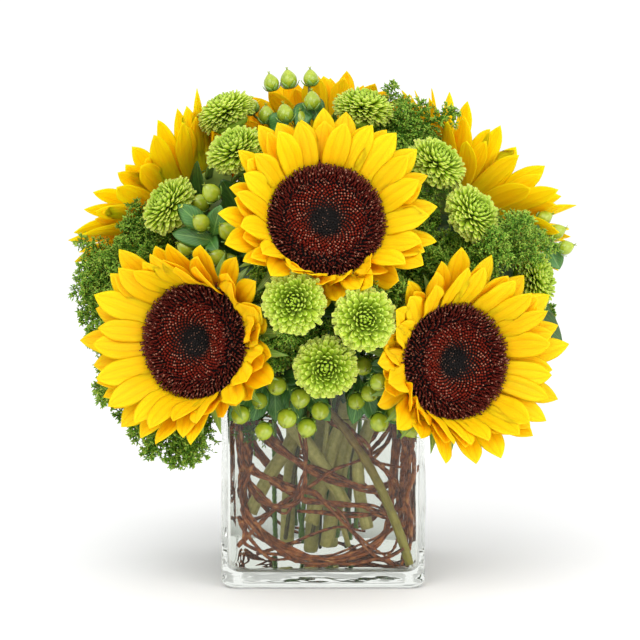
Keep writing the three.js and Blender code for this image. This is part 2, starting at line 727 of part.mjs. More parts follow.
const stems = [
  ...flowers.map((flower) => ({ target: flower.at, radius: SUNFLOWER_STEM, facets: 6, flower })),
  ...sprays.map((spray) => ({ target: spray.target, radius: spray.radius, facets: 4, spray })),
];

buildVase();
buildWillow();
placeHeads(flowers, sprays);
placeStems(stems);
flowers.forEach(placeRays);
flowers.forEach(placeBracts);
stems.filter((stem) => stem.spray && !stem.spray.head).forEach(placePlumes);
for (const { flower, point, tip, width } of FLOWER_LEAVES) {
  placeLeaf(flowers[flower].green, stems[flower].points[point], tip, width);
}
for (const { spray, branch, tip, width } of SPRAY_LEAVES) {
  const [from, to] = sprays[spray].branches[branch];
  placeLeaf(sprays[spray].node, from.clone().lerp(to, 0.6), tip, width);
}
buildWater();

// ---------- nodes ----------
const bouquet = new THREE.Group();

// Fuses a node's solids into one mesh, with its own origin at an anchor.
function addNode(name, finish, anchor = new THREE.Vector3()) {
  const solids = pieces.filter((piece) => piece.node === name).map((piece) => piece.solid);
  const geometry = geometryOf(wasm.Manifold.union(solids).simplify(NODE_DETAIL));
  geometry.translate(-anchor.x, -anchor.y, -anchor.z);
  const mesh = new THREE.Mesh(geometry, new THREE.MeshStandardMaterial(finish));
  mesh.name = name;
  mesh.position.copy(anchor);
  bouquet.add(mesh);
}

addNode("vase", GLASS);
addNode("water", WATER);
for (let i = 0; i <= STRANDS.length; i++) addNode(`willow_${i + 1}`, WILLOW);
for (const flower of flowers) {
  addNode(flower.petals, YELLOW, flower.at);
  addNode(flower.disc, SEED, flower.at);
  addNode(flower.green, STEM_GREEN, flower.at);
}
for (const spray of sprays) addNode(spray.node, spray.finish, spray.target);

export default bouquet;
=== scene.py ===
# Sunflowers in a square glass vase, with button chrysanthemums, hypericum, goldenrod in bud and curly willow.
# Shapes are worked out in millimetres and become metres when their mesh is made. -Y is the front.
import json
import math

import bmesh
import bpy
import numpy as np
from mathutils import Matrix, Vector
from mathutils.bvhtree import BVHTree

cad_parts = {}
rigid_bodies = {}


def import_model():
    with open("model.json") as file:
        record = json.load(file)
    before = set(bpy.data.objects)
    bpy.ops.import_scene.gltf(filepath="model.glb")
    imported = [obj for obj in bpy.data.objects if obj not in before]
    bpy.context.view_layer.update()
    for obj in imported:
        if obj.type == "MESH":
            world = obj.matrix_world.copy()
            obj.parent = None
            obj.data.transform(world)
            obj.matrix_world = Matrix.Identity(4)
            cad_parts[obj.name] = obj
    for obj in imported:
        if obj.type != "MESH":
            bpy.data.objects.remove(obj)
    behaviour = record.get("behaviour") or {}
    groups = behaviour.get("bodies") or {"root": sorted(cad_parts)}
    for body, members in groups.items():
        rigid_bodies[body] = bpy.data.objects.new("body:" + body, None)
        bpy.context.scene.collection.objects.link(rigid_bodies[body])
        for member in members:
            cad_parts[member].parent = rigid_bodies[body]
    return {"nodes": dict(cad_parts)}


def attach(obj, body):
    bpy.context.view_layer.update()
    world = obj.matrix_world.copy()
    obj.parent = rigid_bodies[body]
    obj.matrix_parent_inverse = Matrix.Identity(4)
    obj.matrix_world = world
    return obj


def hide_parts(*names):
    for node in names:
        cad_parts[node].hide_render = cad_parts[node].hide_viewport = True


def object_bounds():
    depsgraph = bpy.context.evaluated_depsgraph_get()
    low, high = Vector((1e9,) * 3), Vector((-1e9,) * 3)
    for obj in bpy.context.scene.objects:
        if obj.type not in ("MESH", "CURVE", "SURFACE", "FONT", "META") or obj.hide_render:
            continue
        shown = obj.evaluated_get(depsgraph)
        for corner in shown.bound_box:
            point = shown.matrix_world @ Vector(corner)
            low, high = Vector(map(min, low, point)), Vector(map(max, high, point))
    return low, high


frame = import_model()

CAD_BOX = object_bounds()

MM = 0.001
TURN = 2 * math.pi
GOLDEN_TURN = math.radians(137.508)
UP = np.array([0.0, 0.0, 1.0])
HEART = np.array([0.0, 0.0, 160.0])  # what the spray heads face away from
WELD = 1e-5  # points of a CAD solid nearer than this are one, in metres
CELL = 3.2  # the side of the cells in which claimed room is counted
BOX_MARGIN = 3  # how far a plume may reach past the CAD model's box
RAY_WAY = Vector((0.31, 0.17, 0.93)).normalized()
RAY_STEP = 2e-6  # metres
RAY_HITS = 80  # the most faces a ray is followed through
# The cup of space kept free in front of a flower: its height, how much it widens with it, and its widest.
CUP_HEIGHT = 50
CUP_SPREAD = 1.9
CUP_WIDEST = 74

# ---------- the bouquet's plan ----------
# Each seed disc's centre, the way it faces, its petals, the lift of its upper, lower, left and right petals
# in degrees, and the side, as a world direction, where they are curled in, with its spread in degrees.
SUNFLOWERS = [
    {"at": (1.5, -96, 232), "face": (0.1, -0.9, 0.42), "petals": "front",
     "lift": (50, 50, 56, 46), "curled": (0.1, 0, -1), "spread": 44},
    {"at": (-77, -90, 159), "face": (-0.46, -0.88, 0.1), "petals": "front",
     "lift": (66, 60, 44, 34), "curled": (1, 0, -0.15), "spread": 60},
    {"at": (79, -88, 146), "face": (0.46, -0.88, 0.08), "petals": "front",
     "lift": (46, 64, 34, 44), "curled": (-1, 0, -0.2), "spread": 52},
    {"at": (-91, 20, 231), "face": (-0.68, 0.35, 0.62), "petals": "back", "lift": (32, 30, 30, 34)},
    {"at": (91, 20, 231), "face": (0.7, 0.3, 0.62), "petals": "back", "lift": (32, 30, 34, 46)},
    {"at": (2, 56, 255), "face": (0, 0.78, 0.62), "petals": "front", "lift": (30, 32, 30, 30)},
]
# How many petals stand in each layer, and their length and width.
PETALS = {"front": ((20, 20, 16), 38.5, 16.5), "back": ((25, 25, 24), 50, 15)}
# Where each layer's petals start, as radius and height, how much they are lifted, and their share of the
# usual length.
PETAL_LAYERS = ((34.2, -0.6, 8, 0.96), (35.6, -3.4, -9, 1.03), (34.8, -2.0, 0, 0.9))
DISC_RADIUS = 34.5
DISC_PROFILE = ((0, 7, 16, 25, 31, 34.5), (-2, -1, 3.0, 4.6, 3.2, 0.2))  # radius and height
DISC_RIM = ((30, -5), (34.4, -4), (35, -1.5))
DISC_FLORETS = 1150
OPEN_FLORETS = 0.66  # the share of the radius beyond which florets are open
# Shares of a petal's length, and its width there as a share of its widest.
PETAL_OUTLINE = ((0, 0.1, 0.25, 0.45, 0.64, 0.78, 0.88, 0.95, 1),
                 (0.7, 0.84, 0.95, 1, 0.96, 0.8, 0.52, 0.26, 0.02))
PETAL_REACHES = (1, 0.86, 0.72, 0.58, 0.42)  # shares of its length that a petal tries to fit in
LIFTS_TRIED = {  # and at how many degrees more lift
    "front": (0, 7, -7, 14, -14, 22, -22, -32),
    "back": (0, 7, -7, 14, -14, 22, -22, 30, -32, 42, 54),
}
HANGING = ((-0.75, -0.45), (0.7, 1.0))  # how much of their length back petals keep, by the way they point
PETAL_PLEATS = 3
PETAL_ROWS = 16
PETAL_COLUMNS = 13
PETAL_THICK = 0.7
LEAST_GAP = 0.3  # from petals and bracts to other pieces
BRACTS = 22
BRACT_LIFTS = (10, 0, -12, 20, -24, -40)
BRACT_HALF = 4.6
CUP_PROFILE = ((5, -27), (7, -22), (13, -17.5), (24, -13), (34, -9.5), (38.5, -6.5), (38, -4.5), (33, -4.6))
HEAD_DEPTH = 19.0  # from the disc down to where the stem starts

MUM_SPRAYS = [
    [(-61, -10, 293), (-53, -55, 272), (-94, -55, 238)],
    [(25, -20, 296), (69, -58, 264)],
    [(90, -72, 234), (131, -40, 191)],
    [(-17, -129, 187), (24, -127, 177), (1.5, -116, 147)],
    [(-45, 112, 218), (-92, 80, 170)],
    [(48, 110, 214), (4, 125, 168), (92, 82, 172)],
]
MUM_RADIUS = 17.8
MUM_FLATTEN = 0.8
MUM_FLORETS = 290
MUM_WIDEST = math.radians(120)  # how far round from its top a head has florets
MUM_CUP = ((2.5, -14), (6, -12.5), (9.5, -10.5), (11.5, -8), (9, -6))

BERRY_SPRAYS = [
    [(-68, -70, 247), (-74, -72, 229), (-58, -72, 224), (-84, -64, 213), (-64, -74, 208)],
    [(-46, -90, 130), (-28, -92, 132), (-50, -90, 114), (-36, -90, 104), (-22, -92, 112), (-2, -88, 116)],
    [(24, -92, 144), (28, -94, 128), (33, -110, 137), (34, -88, 109), (44, -82, 114)],
    [(-33, 8, 311), (-22, 10, 313), (-8, 8, 314), (-7, -6, 300), (-24, -6, 292)],
    [(138, -24, 228), (146, -28, 220), (151, -30, 210), (140, -20, 212)],
    [(-20, 100, 258), (-6, 112, 250), (4, 118, 232)],
    [(-44, 118, 158), (-30, 122, 142), (-56, 108, 136), (-12, 112, 128)],
]
BERRY_RADIUS = 5.7
BERRY_SCALE = (0.98, 1, 0.98, 0.92, 0.82, 1, 1)
BERRY_SIDES = 14
TWIG_REACH = 14  # from a berry's underside to where its twig looks for the stem
# More berries on the same stems, each on a twig of its own.
SMALL_SPRAYS = [
    [(-75, -56, 240), (-92, -52, 232), (-84, -56, 226), (-58, -60, 204)],
    [(-37, -84, 141), (-14, -90, 124), (-10, -84, 105), (-39, -80, 121), (-60, -76, 122)],
    [(48, -84, 133), (20, -88, 122), (52, -78, 104)],
    [(-36, 0, 291), (-14, 0, 288), (-46, 12, 296)],
    [(147, -10, 206), (131, -26, 221)],
    [(-14, 108, 236), (14, 104, 250)],
    [(-22, 112, 150), (-46, 104, 120)],
]

PLUME_SPRAYS = 9
PLUME_RADIUS = 13
SIDE_PLUMES = 5
STEM_PLUMES = 5
# The tips of more plumes, each on a twig from the nearest goldenrod stalk.
LOOSE_PLUMES = [
    (-144, -18, 214), (-151, -24, 199), (-140, -30, 204), (-143, -34, 188), (-143, -32, 172),
    (-140, -40, 160), (-128, -42, 214), (-131, -46, 196), (-132, -50, 178), (-135, -48, 162),
    (-122, -50, 116), (-112, -58, 104), (-151, -14, 182), (-152, -26, 165), (-148, -20, 149),
    (-141, -32, 134), (-128, -20, 222), (-112, -14, 228), (-134, -42, 120), (-127, -54, 107),
    (-118, -60, 95), (-107, -64, 86), (-95, -66, 81), (-81, -66, 82), (-68, -68, 86), (-56, -72, 92),
    (-136, 4, 190), (-134, 2, 160), (64, -18, 297), (52, -20, 298), (40, -16, 291), (58, -26, 281),
    (72, -8, 288), (84, -20, 262), (124, -44, 230), (128, -50, 216), (112, -58, 208), (104, -62, 201),
    (118, -50, 222), (134, -36, 204), (68, -62, 240), (66, -68, 224), (74, -72, 208), (58, -60, 247),
    (130, -48, 160), (128, -40, 130), (-36, -102, 203), (-24, -104, 164), (-31, -102, 174), (44, -84, 196),
    (-48, -86, 186), (80, -70, 223), (84, -62, 213), (70, -48, 230), (-146, -6, 206), (-149, -34, 180),
    (-146, -38, 158), (-140, -10, 222), (-123, -36, 226), (-138, -50, 146), (-133, -54, 128),
    (-100, -66, 96), (-88, -68, 92), (-60, 40, 262), (60, 44, 262), (-120, 60, 200), (124, 56, 196),
    (-100, 100, 140), (106, 98, 140), (0, 134, 200), (-60, 124, 196), (62, 126, 190), (-134, 60, 140),
    (136, 50, 150), (-30, 132, 176), (30, 136, 150), (-14, 26, 262), (22, 14, 266), (44, 30, 256),
    (-42, 24, 262), (-34, -26, 258), (30, -34, 256), (2, -36, 252),
]
LOOSE_LENGTH = 36
PLUME_BACK = 2.7  # a plume's length over its last stretch's
TIP_STEP = 1.7
TIP_RADIUS = 0.9
PLUME_OUTLINE = ((0, 0.15, 0.4, 0.7, 1), (0.65, 1.0, 1.0, 0.72, 0.22))  # shares of length and radius
PLUME_ROWS = 10
PLUME_CORE = 0.16  # the slimmed core's radius over the plume's
SPRAYS_PER_MM = 1.05
BUDS = 15
SPROUT_LOW = 128  # leaves and plumes grow from the stems above this height
SPROUT_TRIES = 40  # for the plumes on one stem

# The willow strands: how far from the vase's axis each lies, and its route as degrees round the vase and
# heights.
STRANDS = [
    (45.2, [(-158, 116), (-138, 99), (-118, 84), (-96, 71), (-72, 63), (-50, 60), (-24, 68), (4, 88),
            (24, 116)]),
    (50.2, [(-38, 114), (-43, 82), (-46, 50), (-56, 27), (-84, 16), (-114, 24), (-146, 44), (-182, 66),
            (-208, 100)]),
    (55.2, [(-128, 118), (-142, 92), (-134, 66), (-118, 50), (-104, 58), (-101, 84), (-110, 117)]),
    (55.2, [(150, 116), (136, 80), (112, 44), (84, 26), (52, 28), (26, 48), (6, 82), (-6, 114)]),
    (50.2, [(40, 112), (58, 76), (84, 58), (112, 66), (134, 106)]),
]
TWIG_RADIUS = 1.35
# Loose twigs just inside the glass: how many run together, their radius, their distance from the vase's axis,
# their quarter of the vase, and their route as distances from its middle and heights.
LOOSE_TWIGS = [
    (3, 1.5, 52, 0, [(-51, 118), (-53, 101), (-50, 86), (-45, 75), (-32, 68), (-20, 63), (-7, 59), (2, 50),
                     (17, 35), (30, 22), (46, 15)]),
    (2, 1.4, 54, 0, [(-44, 78), (-51, 63), (-50, 52), (-45, 41), (-40, 34), (-32, 28), (-23, 21), (-7, 15),
                     (10, 13), (22, 14), (36, 18), (53, 26)]),
    (2, 1.2, 50, 0, [(-52, 44), (-50, 35), (-45, 26), (-34, 19), (-16, 17), (0, 14), (12, 14)]),
    (1, 1.4, 48, 0, [(-53, 24), (-36, 43), (-22, 54), (-7, 63), (7, 73), (22, 79), (36, 77), (50, 74),
                     (54, 60)]),
    (1, 1.1, 45, 0, [(-42, 18), (-23, 26), (-7, 31), (9, 36), (26, 33)]),
    (2, 1.9, 46, 0, [(48, 121), (49, 92), (50, 79), (51, 67), (50, 54), (52, 30)]),
    (2, 1.9, 52, 0, [(53, 121), (54, 92), (55, 69), (55, 50), (54, 26), (50, 15)]),
    (2, 1.2, 45, 0, [(10, 16), (29, 22), (41, 33), (47, 40), (53, 58)]),
    (2, 1.1, 44, 0, [(-15, 46), (9, 44), (27, 43), (45, 45), (54, 54)]),
    (3, 1.3, 48, 0, [(-32, 66), (-13, 55), (7, 52), (29, 48), (50, 38)]),
    (1, 1.1, 50, 0, [(-12, 13), (0, 13), (12, 19), (27, 22), (41, 21), (47, 30), (52, 44)]),
    (3, 1.6, 52, 0, [(-10, 122), (12, 100), (26, 88), (36, 76), (46, 60)]),
    (3, 1.4, 52, 1, [(-50, 112), (-40, 86), (-22, 66), (4, 52), (26, 34), (50, 22)]),
    (2, 1.3, 49, 1, [(50, 104), (34, 70), (12, 44), (-16, 26), (-48, 34)]),
    (2, 1.2, 53, 1, [(-52, 20), (-30, 32), (-4, 22), (24, 16), (50, 40)]),
    (3, 1.4, 51, 2, [(-52, 116), (-44, 80), (-24, 58), (0, 46), (28, 30), (52, 18)]),
    (2, 1.2, 47, 2, [(52, 92), (30, 72), (2, 66), (-26, 48), (-52, 24)]),
    (2, 1.3, 53, 2, [(-50, 40), (-30, 22), (0, 14), (30, 20), (52, 48)]),
    (3, 1.4, 52, 3, [(52, 114), (42, 82), (20, 60), (-6, 46), (-30, 28), (-52, 20)]),
    (2, 1.2, 48, 3, [(-52, 88), (-30, 60), (0, 40), (30, 44), (52, 70)]),
]
CANE = ((-8, -55, 122), (32, -55, 88), (54, -54, 14))  # its top, bend and foot
CANE_RADIUS = 2.8
WILLOW_ROWS = 60  # points along a strand and along the cane
TWIG_SIDES = 8
TWIG_TOP = 124  # the greatest height of a strand
# How far each twig of a strand swings, and its share of the usual thickness.
STRAND_TWIGS = ((1.5, 1.0), (1.5, 1.0), (1.5, 1.0), (3.5, 0.8))
LEAST_DEPTH = 42  # from the vase's axis to the loose twigs
# Cut stems that lean across the front of the vase: their radius, and their route as distances from its middle
# and heights.
LOOSE_STEMS = [
    (4.4, [(-6, 120), (-20, 88), (-34, 66), (-46, 42)]),
    (4.6, [(-36, 120), (-16, 95), (2, 70), (14, 48)]),
    (4.3, [(16, 120), (9, 95), (0, 62), (-8, 36)]),
    (4.0, [(38, 120), (23, 82), (23, 56), (28, 34)]),
    (1.9, [(4, 118), (0, 70), (-3, 48), (-5, 34)]),
    (1.8, [(24, 118), (14, 70), (11, 44), (16, 20)]),
]
STEM_DEPTHS = (40, 38, 36, 34, 32, 30, 43, 28)  # in front of the vase's axis, in the order they are tried

VASE_HALF = 63.5
VASE_HEIGHT = 127
VASE_WALL = 5
VASE_FLOOR = 9
VASE_CORNER = 9
VASE_EASE = 5.0  # the rounding of its lower edge
VASE_LIP = 2.5  # the height of its rim's rounding
ROUND_IN = 6.0  # the rounding where the walls meet the floor inside
WATER_TOP = 105
FILM = 0.15  # between the water and the glass
INSIDE = VASE_HALF - VASE_WALL

LEAF_REACH = 112  # how far from the bouquet's heart a small leaf's tip lies at most
LEAF_TRIES = 14  # for each leaf
# Width over length, rows and columns of points, how much the edge is cut in, its teeth, and the stalk's
# share of the length.
LEAF_KINDS = {
    "heart": (0.74, 34, 11, 0.07, 11, 0.2),
    "lobed": (0.6, 30, 9, 0.5, 3.4, 0.12),
    "oval": (0.5, 12, 7, 0.0, 3.4, 0.12),
    "lance": (0.15, 10, 5, 0.0, 3.4, 0.12),
}
# The leaves of each plant: how many, their kind, least and greatest length, look and slot.
FOLIAGE = {
    "sunflower": (4, "heart", 44, 66, "leaves", "flower_green"),
    "chrysanthemum": (18, "lobed", 26, 44, "leaves", "chrysanthemum"),
    "hypericum": (14, "oval", 13, 22, "oval leaves", "hypericum"),
    "goldenrod": (6, "lance", 18, 30, "leaves", "goldenrod"),
}
# The large leaves that show, by the stem they grow on: root, tip, width and the way they face.
LARGE_LEAVES = {
    "sunflower_4_stem": [
        ((-60, -12, 214), (-78, -32, 264), 30, (-0.5, -0.6, 0.5)),
    ],
    "sunflower_5_stem": [
        ((112, -8, 190), (150, -24, 150), 30, (0.3, -1, 0.3)),
    ],
    "chrysanthemum_5": [
        ((-40, 84, 190), (-66, 118, 172), 26, (-0.5, 0.8, 0.5)),
        ((-60, 66, 160), (-72, 100, 120), 24, (-0.6, 0.8, 0.3)),
    ],
    "chrysanthemum_6": [
        ((10, 96, 158), (26, 136, 124), 26, (0.2, 0.9, 0.4)),
        ((66, 66, 160), (76, 102, 120), 24, (0.5, 0.8, 0.3)),
    ],
    "chrysanthemum_1": [
        ((-44, -26, 200), (-76, -50, 220), 30, (-0.3, -1, 0.2)),
        ((-44, -26, 216), (-62, -50, 254), 28, (-0.4, -1, 0.3)),
    ],
    "chrysanthemum_2": [
        ((50, -26, 206), (82, -46, 226), 30, (0.3, -1, 0.2)),
    ],
    "chrysanthemum_3": [
        ((64, -40, 184), (96, -56, 212), 30, (0.3, -1, 0.2)),
    ],
    "chrysanthemum_4": [
        ((-16, -78, 160), (-38, -88, 190), 26, (-0.2, -1, 0.3)),
        ((14, -76, 150), (44, -84, 164), 26, (0.2, -1, 0.3)),
    ],
    "hypericum_2": [
        ((-44, -72, 136), (-57, -75, 108), 13, (-0.1, -1, 0.2)),
        ((-40, -72, 136), (-43, -76, 108), 13, (0, -1, 0.2)),
        ((-30, -72, 136), (-29, -77, 108), 13, (0, -1, 0.2)),
        ((-18, -72, 136), (-15, -76, 106), 13, (0, -1, 0.2)),
        ((-10, -72, 134), (4, -76, 108), 13, (0.1, -1, 0.2)),
        ((-26, -74, 140), (-8, -82, 134), 12, (0, -0.8, 0.6)),
    ],
    "hypericum_3": [
        ((26, -72, 136), (18, -76, 106), 13, (0, -1, 0.2)),
        ((32, -72, 136), (31, -77, 108), 13, (0, -1, 0.2)),
        ((36, -72, 136), (44, -75, 106), 13, (0, -1, 0.2)),
        ((38, -72, 134), (57, -74, 112), 13, (0.1, -1, 0.2)),
    ],
    "hypericum_1": [
        ((-70, -62, 226), (-88, -70, 240), 13, (-0.3, -1, 0.3)),
        ((-66, -62, 222), (-62, -74, 240), 13, (0, -1, 0.3)),
        ((-70, -62, 214), (-92, -66, 222), 13, (-0.3, -1, 0.3)),
        ((-66, -62, 212), (-74, -70, 198), 13, (-0.1, -1, 0.1)),
    ],
    "hypericum_4": [
        ((-22, 2, 296), (-32, -4, 280), 13, (-0.1, -1, 0.2)),
        ((-16, 2, 300), (-16, -6, 282), 13, (0, -1, 0.2)),
        ((-14, 2, 304), (-2, -2, 286), 13, (0.1, -1, 0.2)),
    ],
    "hypericum_5": [
        ((138, -22, 214), (134, -32, 226), 12, (0.1, -1, 0.2)),
        ((140, -22, 210), (148, -26, 196), 12, (0.2, -1, 0.1)),
    ],
}

CAMERA_AT = (-2, -1588, 355.8)
CAMERA_LOOKS_AT = (-2, 0, 160.8)
CAMERA_LENS = 141.0
LAMPS = {"key": ((-500, -1400, 1500), 15), "fill": ((1150, -1300, 600), 12)}  # places and watts
LAMP_SIZE = 1.6  # metres
SKY = 1.12
FLOOR_HALF = 6.0  # metres


# ---------- arithmetic of lines and frames ----------
def unit(v):
    return v / np.maximum(np.linalg.norm(v, axis=-1, keepdims=True), 1e-9)


def curve(rows, *controls):
    """Points of a Bezier curve for each piece, from its control points as (pieces, 3)."""
    share = np.linspace(0, 1, rows)[:, None]
    points = [np.atleast_2d(np.asarray(c, float))[:, None] for c in controls]
    while len(points) > 1:
        points = [a + (b - a) * share for a, b in zip(points, points[1:])]
    return points[0]


def frames_along(paths):
    """The direction along each path, and two sides square to it that don't twist."""
    along = unit(np.gradient(paths, axis=1))
    least = np.abs(along.mean(axis=1)).argmin(axis=1)
    current = np.eye(3)[least]
    sides = np.zeros_like(paths)
    for row in range(paths.shape[1]):
        current = unit(current - (current * along[:, row]).sum(-1, keepdims=True) * along[:, row])
        sides[:, row] = current
    return along, sides, np.cross(along, sides)


def tubes(paths, radii, sides):
    """Rings round each path."""
    _, side, out = frames_along(paths)
    angle = np.arange(sides) * TURN / sides
    radii = np.broadcast_to(radii, paths.shape[:2])[..., None, None]
    ring = np.cos(angle)[:, None] * side[:, :, None] + np.sin(angle)[:, None] * out[:, :, None]
    return paths[:, :, None] + radii * ring


def blades(paths, face, half, rise, thick):
    """Rings round thin blades. "face" is where the upper side looks, "half" half the width at each row,
    and "rise" the height of the middle surface at each row and column. Also gives each point's column."""
    columns = rise.shape[-1]
    along = unit(np.gradient(paths, axis=1))
    side = unit(np.cross(np.broadcast_to(face, paths.shape), along))
    out = np.cross(along, side)
    order = np.concatenate([np.arange(columns)[::-1], np.arange(1, columns - 1)])
    across = np.linspace(-1, 1, columns)[order]
    upper = np.concatenate([np.ones(columns), -np.ones(columns - 2)])
    offset = rise[..., order] + upper * np.sqrt(1 - across**2) * thick / 2
    rings = paths[:, :, None] + (half[..., None] * across)[..., None] * side[:, :, None]
    return rings + offset[..., None] * out[:, :, None], (across + 1) / 2


def spokes(angle):
    """Directions square to the upright axis, at angles round it."""
    return np.stack([np.cos(angle), np.sin(angle), np.zeros_like(angle)], -1)


def turned(profile, sides):
    """Rings of a turned shape, from its radii and heights."""
    around = spokes(np.arange(sides) * TURN / sides)
    return np.array([around * radius + UP * height for radius, height in profile])[None]


def head_turn(face):
    """The shortest turn of an upright head to its face, as a matrix."""
    return np.array(Vector(UP).rotation_difference(Vector(face).normalized()).to_matrix())


def placed(local, at, turn):
    return np.asarray(at) + local @ turn.T


def random_units(rng, count):
    return unit(rng.normal(size=(count, 3)))


# ---------- skins ----------
class Skin:
    """Closed skins gathered into one mesh: rings of points joined along their length, drawn together at both
    ends, or to the poles given. Each point's "grain" says how far along and across its piece it lies, the
    piece's tone and its kind."""

    def __init__(self):
        self.points = []
        self.quads = []
        self.tris = []
        self.grain = []
        self.count = 0

    def add(self, rings, across=0.5, tone=0.5, kind=0.0, poles=None):
        pieces, rows, size = rings.shape[:3]
        each = rows * size + 2
        if poles is None:
            poles = rings[:, [0, -1]].mean(axis=2)
        self.points.append(np.concatenate([rings.reshape(pieces, -1, 3), poles], axis=1).reshape(-1, 3))
        grid = np.arange(rows * size).reshape(rows, size)
        turned_grid = np.roll(grid, -1, axis=1)
        quads = np.stack([grid[:-1], turned_grid[:-1], turned_grid[1:], grid[1:]], -1).reshape(-1, 4)
        low = np.stack([turned_grid[0], grid[0], np.full(size, each - 2)], -1)
        high = np.stack([grid[-1], turned_grid[-1], np.full(size, each - 1)], -1)
        starts = self.count + np.arange(pieces)[:, None, None] * each
        self.quads.append((quads + starts).reshape(-1, 4))
        self.tris.append((np.concatenate([low, high]) + starts).reshape(-1, 3))
        grain = np.zeros((pieces, each, 4))
        along = np.repeat(np.linspace(0, 1, rows) if rows > 1 else [0.4], size)
        grain[..., 0] = np.append(along, [0, 1])
        grain[:, :-2, 1] = np.broadcast_to(across, (rows, size)).reshape(-1)
        grain[..., 2] = np.reshape(tone, (-1, 1))
        grain[..., 3] = np.reshape(kind, (-1, 1))
        self.grain.append(grain.reshape(-1, 4))
        self.count += pieces * each
        return self

    def rod(self, path, radii, sides, tone=0.5):
        """Adds a round rod along one path."""
        rings = tubes(path.reshape(1, -1, 3), radii, sides)
        return self.add(rings, across=np.abs(np.linspace(-1, 1, sides)), tone=tone)

    def mesh(self, name):
        points = np.concatenate(self.points) * MM
        quads = np.concatenate(self.quads)
        tris = np.concatenate(self.tris)
        mesh = bpy.data.meshes.new(name)
        mesh.vertices.add(len(points))
        mesh.vertices.foreach_set("co", points.ravel())
        mesh.loops.add(quads.size + tris.size)
        mesh.loops.foreach_set("vertex_index", np.concatenate([quads.ravel(), tris.ravel()]))
        mesh.polygons.add(len(quads) + len(tris))
        starts = np.concatenate([np.arange(len(quads)) * 4, quads.size + np.arange(len(tris)) * 3])
        mesh.polygons.foreach_set("loop_start", starts)
        mesh.update(calc_edges=True)
        set_grain(mesh, np.concatenate(self.grain))
        return mesh


def set_grain(mesh, values):
    grain = mesh.attributes.new("grain", "FLOAT_COLOR", "POINT")
    grain.data.foreach_set("color", values.ravel())
    mesh.shade_smooth()


def linked(name, data):
    """A new object in the scene."""
    thing = bpy.data.objects.new(name, data)
    bpy.context.scene.collection.objects.link(thing)
    return thing


def show(mesh, name, look, slot, *nodes):
    """Makes a piece of a skin or a mesh. It rides on the one body and stands for its CAD nodes."""
    if isinstance(mesh, Skin):
        mesh = mesh.mesh(name)
    piece = linked(name, mesh)
    mesh.materials.clear()
    mesh.materials.append(LOOKS[look])
    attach(piece, "root")
    if nodes:
        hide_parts(*nodes)


# ---------- materials ----------
def tint(text):
    """A colour from its six hexadecimal digits, made linear."""
    parts = [int(text[i : i + 2], 16) / 255 for i in (0, 2, 4)]
    return (*[p / 12.92 if p < 0.04045 else ((p + 0.055) / 1.055) ** 2.4 for p in parts], 1.0)


class Look:
    """A procedural material on the principled shader."""

    def __init__(self, name, **fixed):
        self.material = bpy.data.materials.new(name)
        self.material.use_nodes = True
        self.tree = self.material.node_tree
        self.shader = self.tree.nodes["Principled BSDF"]
        for socket, value in fixed.items():
            self.shader.inputs[socket.replace("_", " ")].default_value = value
        self.split = None

    def node(self, kind, *sources, **settings):
        new = self.tree.nodes.new("ShaderNode" + kind)
        for key, value in settings.items():
            setattr(new, key, value)
        for index, value in enumerate(sources):
            self.join(new.inputs[index], value)
        return new

    def join(self, socket, value):
        if isinstance(value, bpy.types.NodeSocket):
            self.tree.links.new(value, socket)
        elif value is not None:
            socket.default_value = value

    def grain(self, channel):
        """How far "along" or "across" its piece a point lies, or the piece's "tone" or "kind"."""
        if self.split is None:
            self.attribute = self.node("Attribute", attribute_name="grain")
            self.split = self.node("SeparateColor", self.attribute.outputs["Color"])
        if channel == "kind":
            return self.attribute.outputs["Alpha"]
        return self.split.outputs[("along", "across", "tone").index(channel)]

    def place(self):
        return self.node("TexCoord").outputs["Object"]

    def math(self, operation, *values):
        return self.node("Math", *values, operation=operation).outputs[0]

    def vector(self, x, y, z):
        return self.node("CombineXYZ", x, y, z).outputs[0]

    def noise(self, where, scale, detail=3.0):
        return self.node("TexNoise", where, None, scale, detail).outputs[0]

    def stripes(self, scale_across, scale_along):
        """Noise drawn out along the piece, another one on each."""
        across = self.math("MULTIPLY", self.grain("across"), scale_across)
        along = self.math("MULTIPLY", self.grain("along"), scale_along)
        return self.noise(self.vector(across, along, self.math("MULTIPLY", self.grain("tone"), 40.0)), 1.0)

    def ramp(self, value, *stops):
        new = self.node("ValToRGB", value)
        elements = new.color_ramp.elements
        while len(elements) < len(stops):
            elements.new(0.5)
        for element, (place, colour) in zip(elements, stops):
            element.position = place
            element.color = tint(colour) if isinstance(colour, str) else (colour, colour, colour, 1)
        return new.outputs[0]

    def mix(self, share, a, b):
        new = self.node("Mix", data_type="RGBA")
        for index, value in ((0, share), (6, a), (7, b)):
            self.join(new.inputs[index], tint(value) if isinstance(value, str) else value)
        return new.outputs[2]

    def halves(self, a, b, share=0.5):
        """Two heights added, each at its share."""
        return self.math("ADD", self.math("MULTIPLY", a, share), self.math("MULTIPLY", b, 1 - share))

    def off_middle(self):
        """How far a point lies from the middle line of its piece."""
        return self.math("ABSOLUTE", self.math("SUBTRACT", self.grain("across"), 0.5))

    def bump(self, height, strength, distance):
        new = self.node("Bump", strength, distance)
        self.join(new.inputs["Height"], height)
        self.join(self.shader.inputs["Normal"], new.outputs[0])

    def colour(self, value):
        self.join(self.shader.inputs["Base Color"], value)
        return self.material

    def roughness(self, value, low, high):
        self.join(self.shader.inputs["Roughness"], self.ramp(value, (0, low), (1, high)))


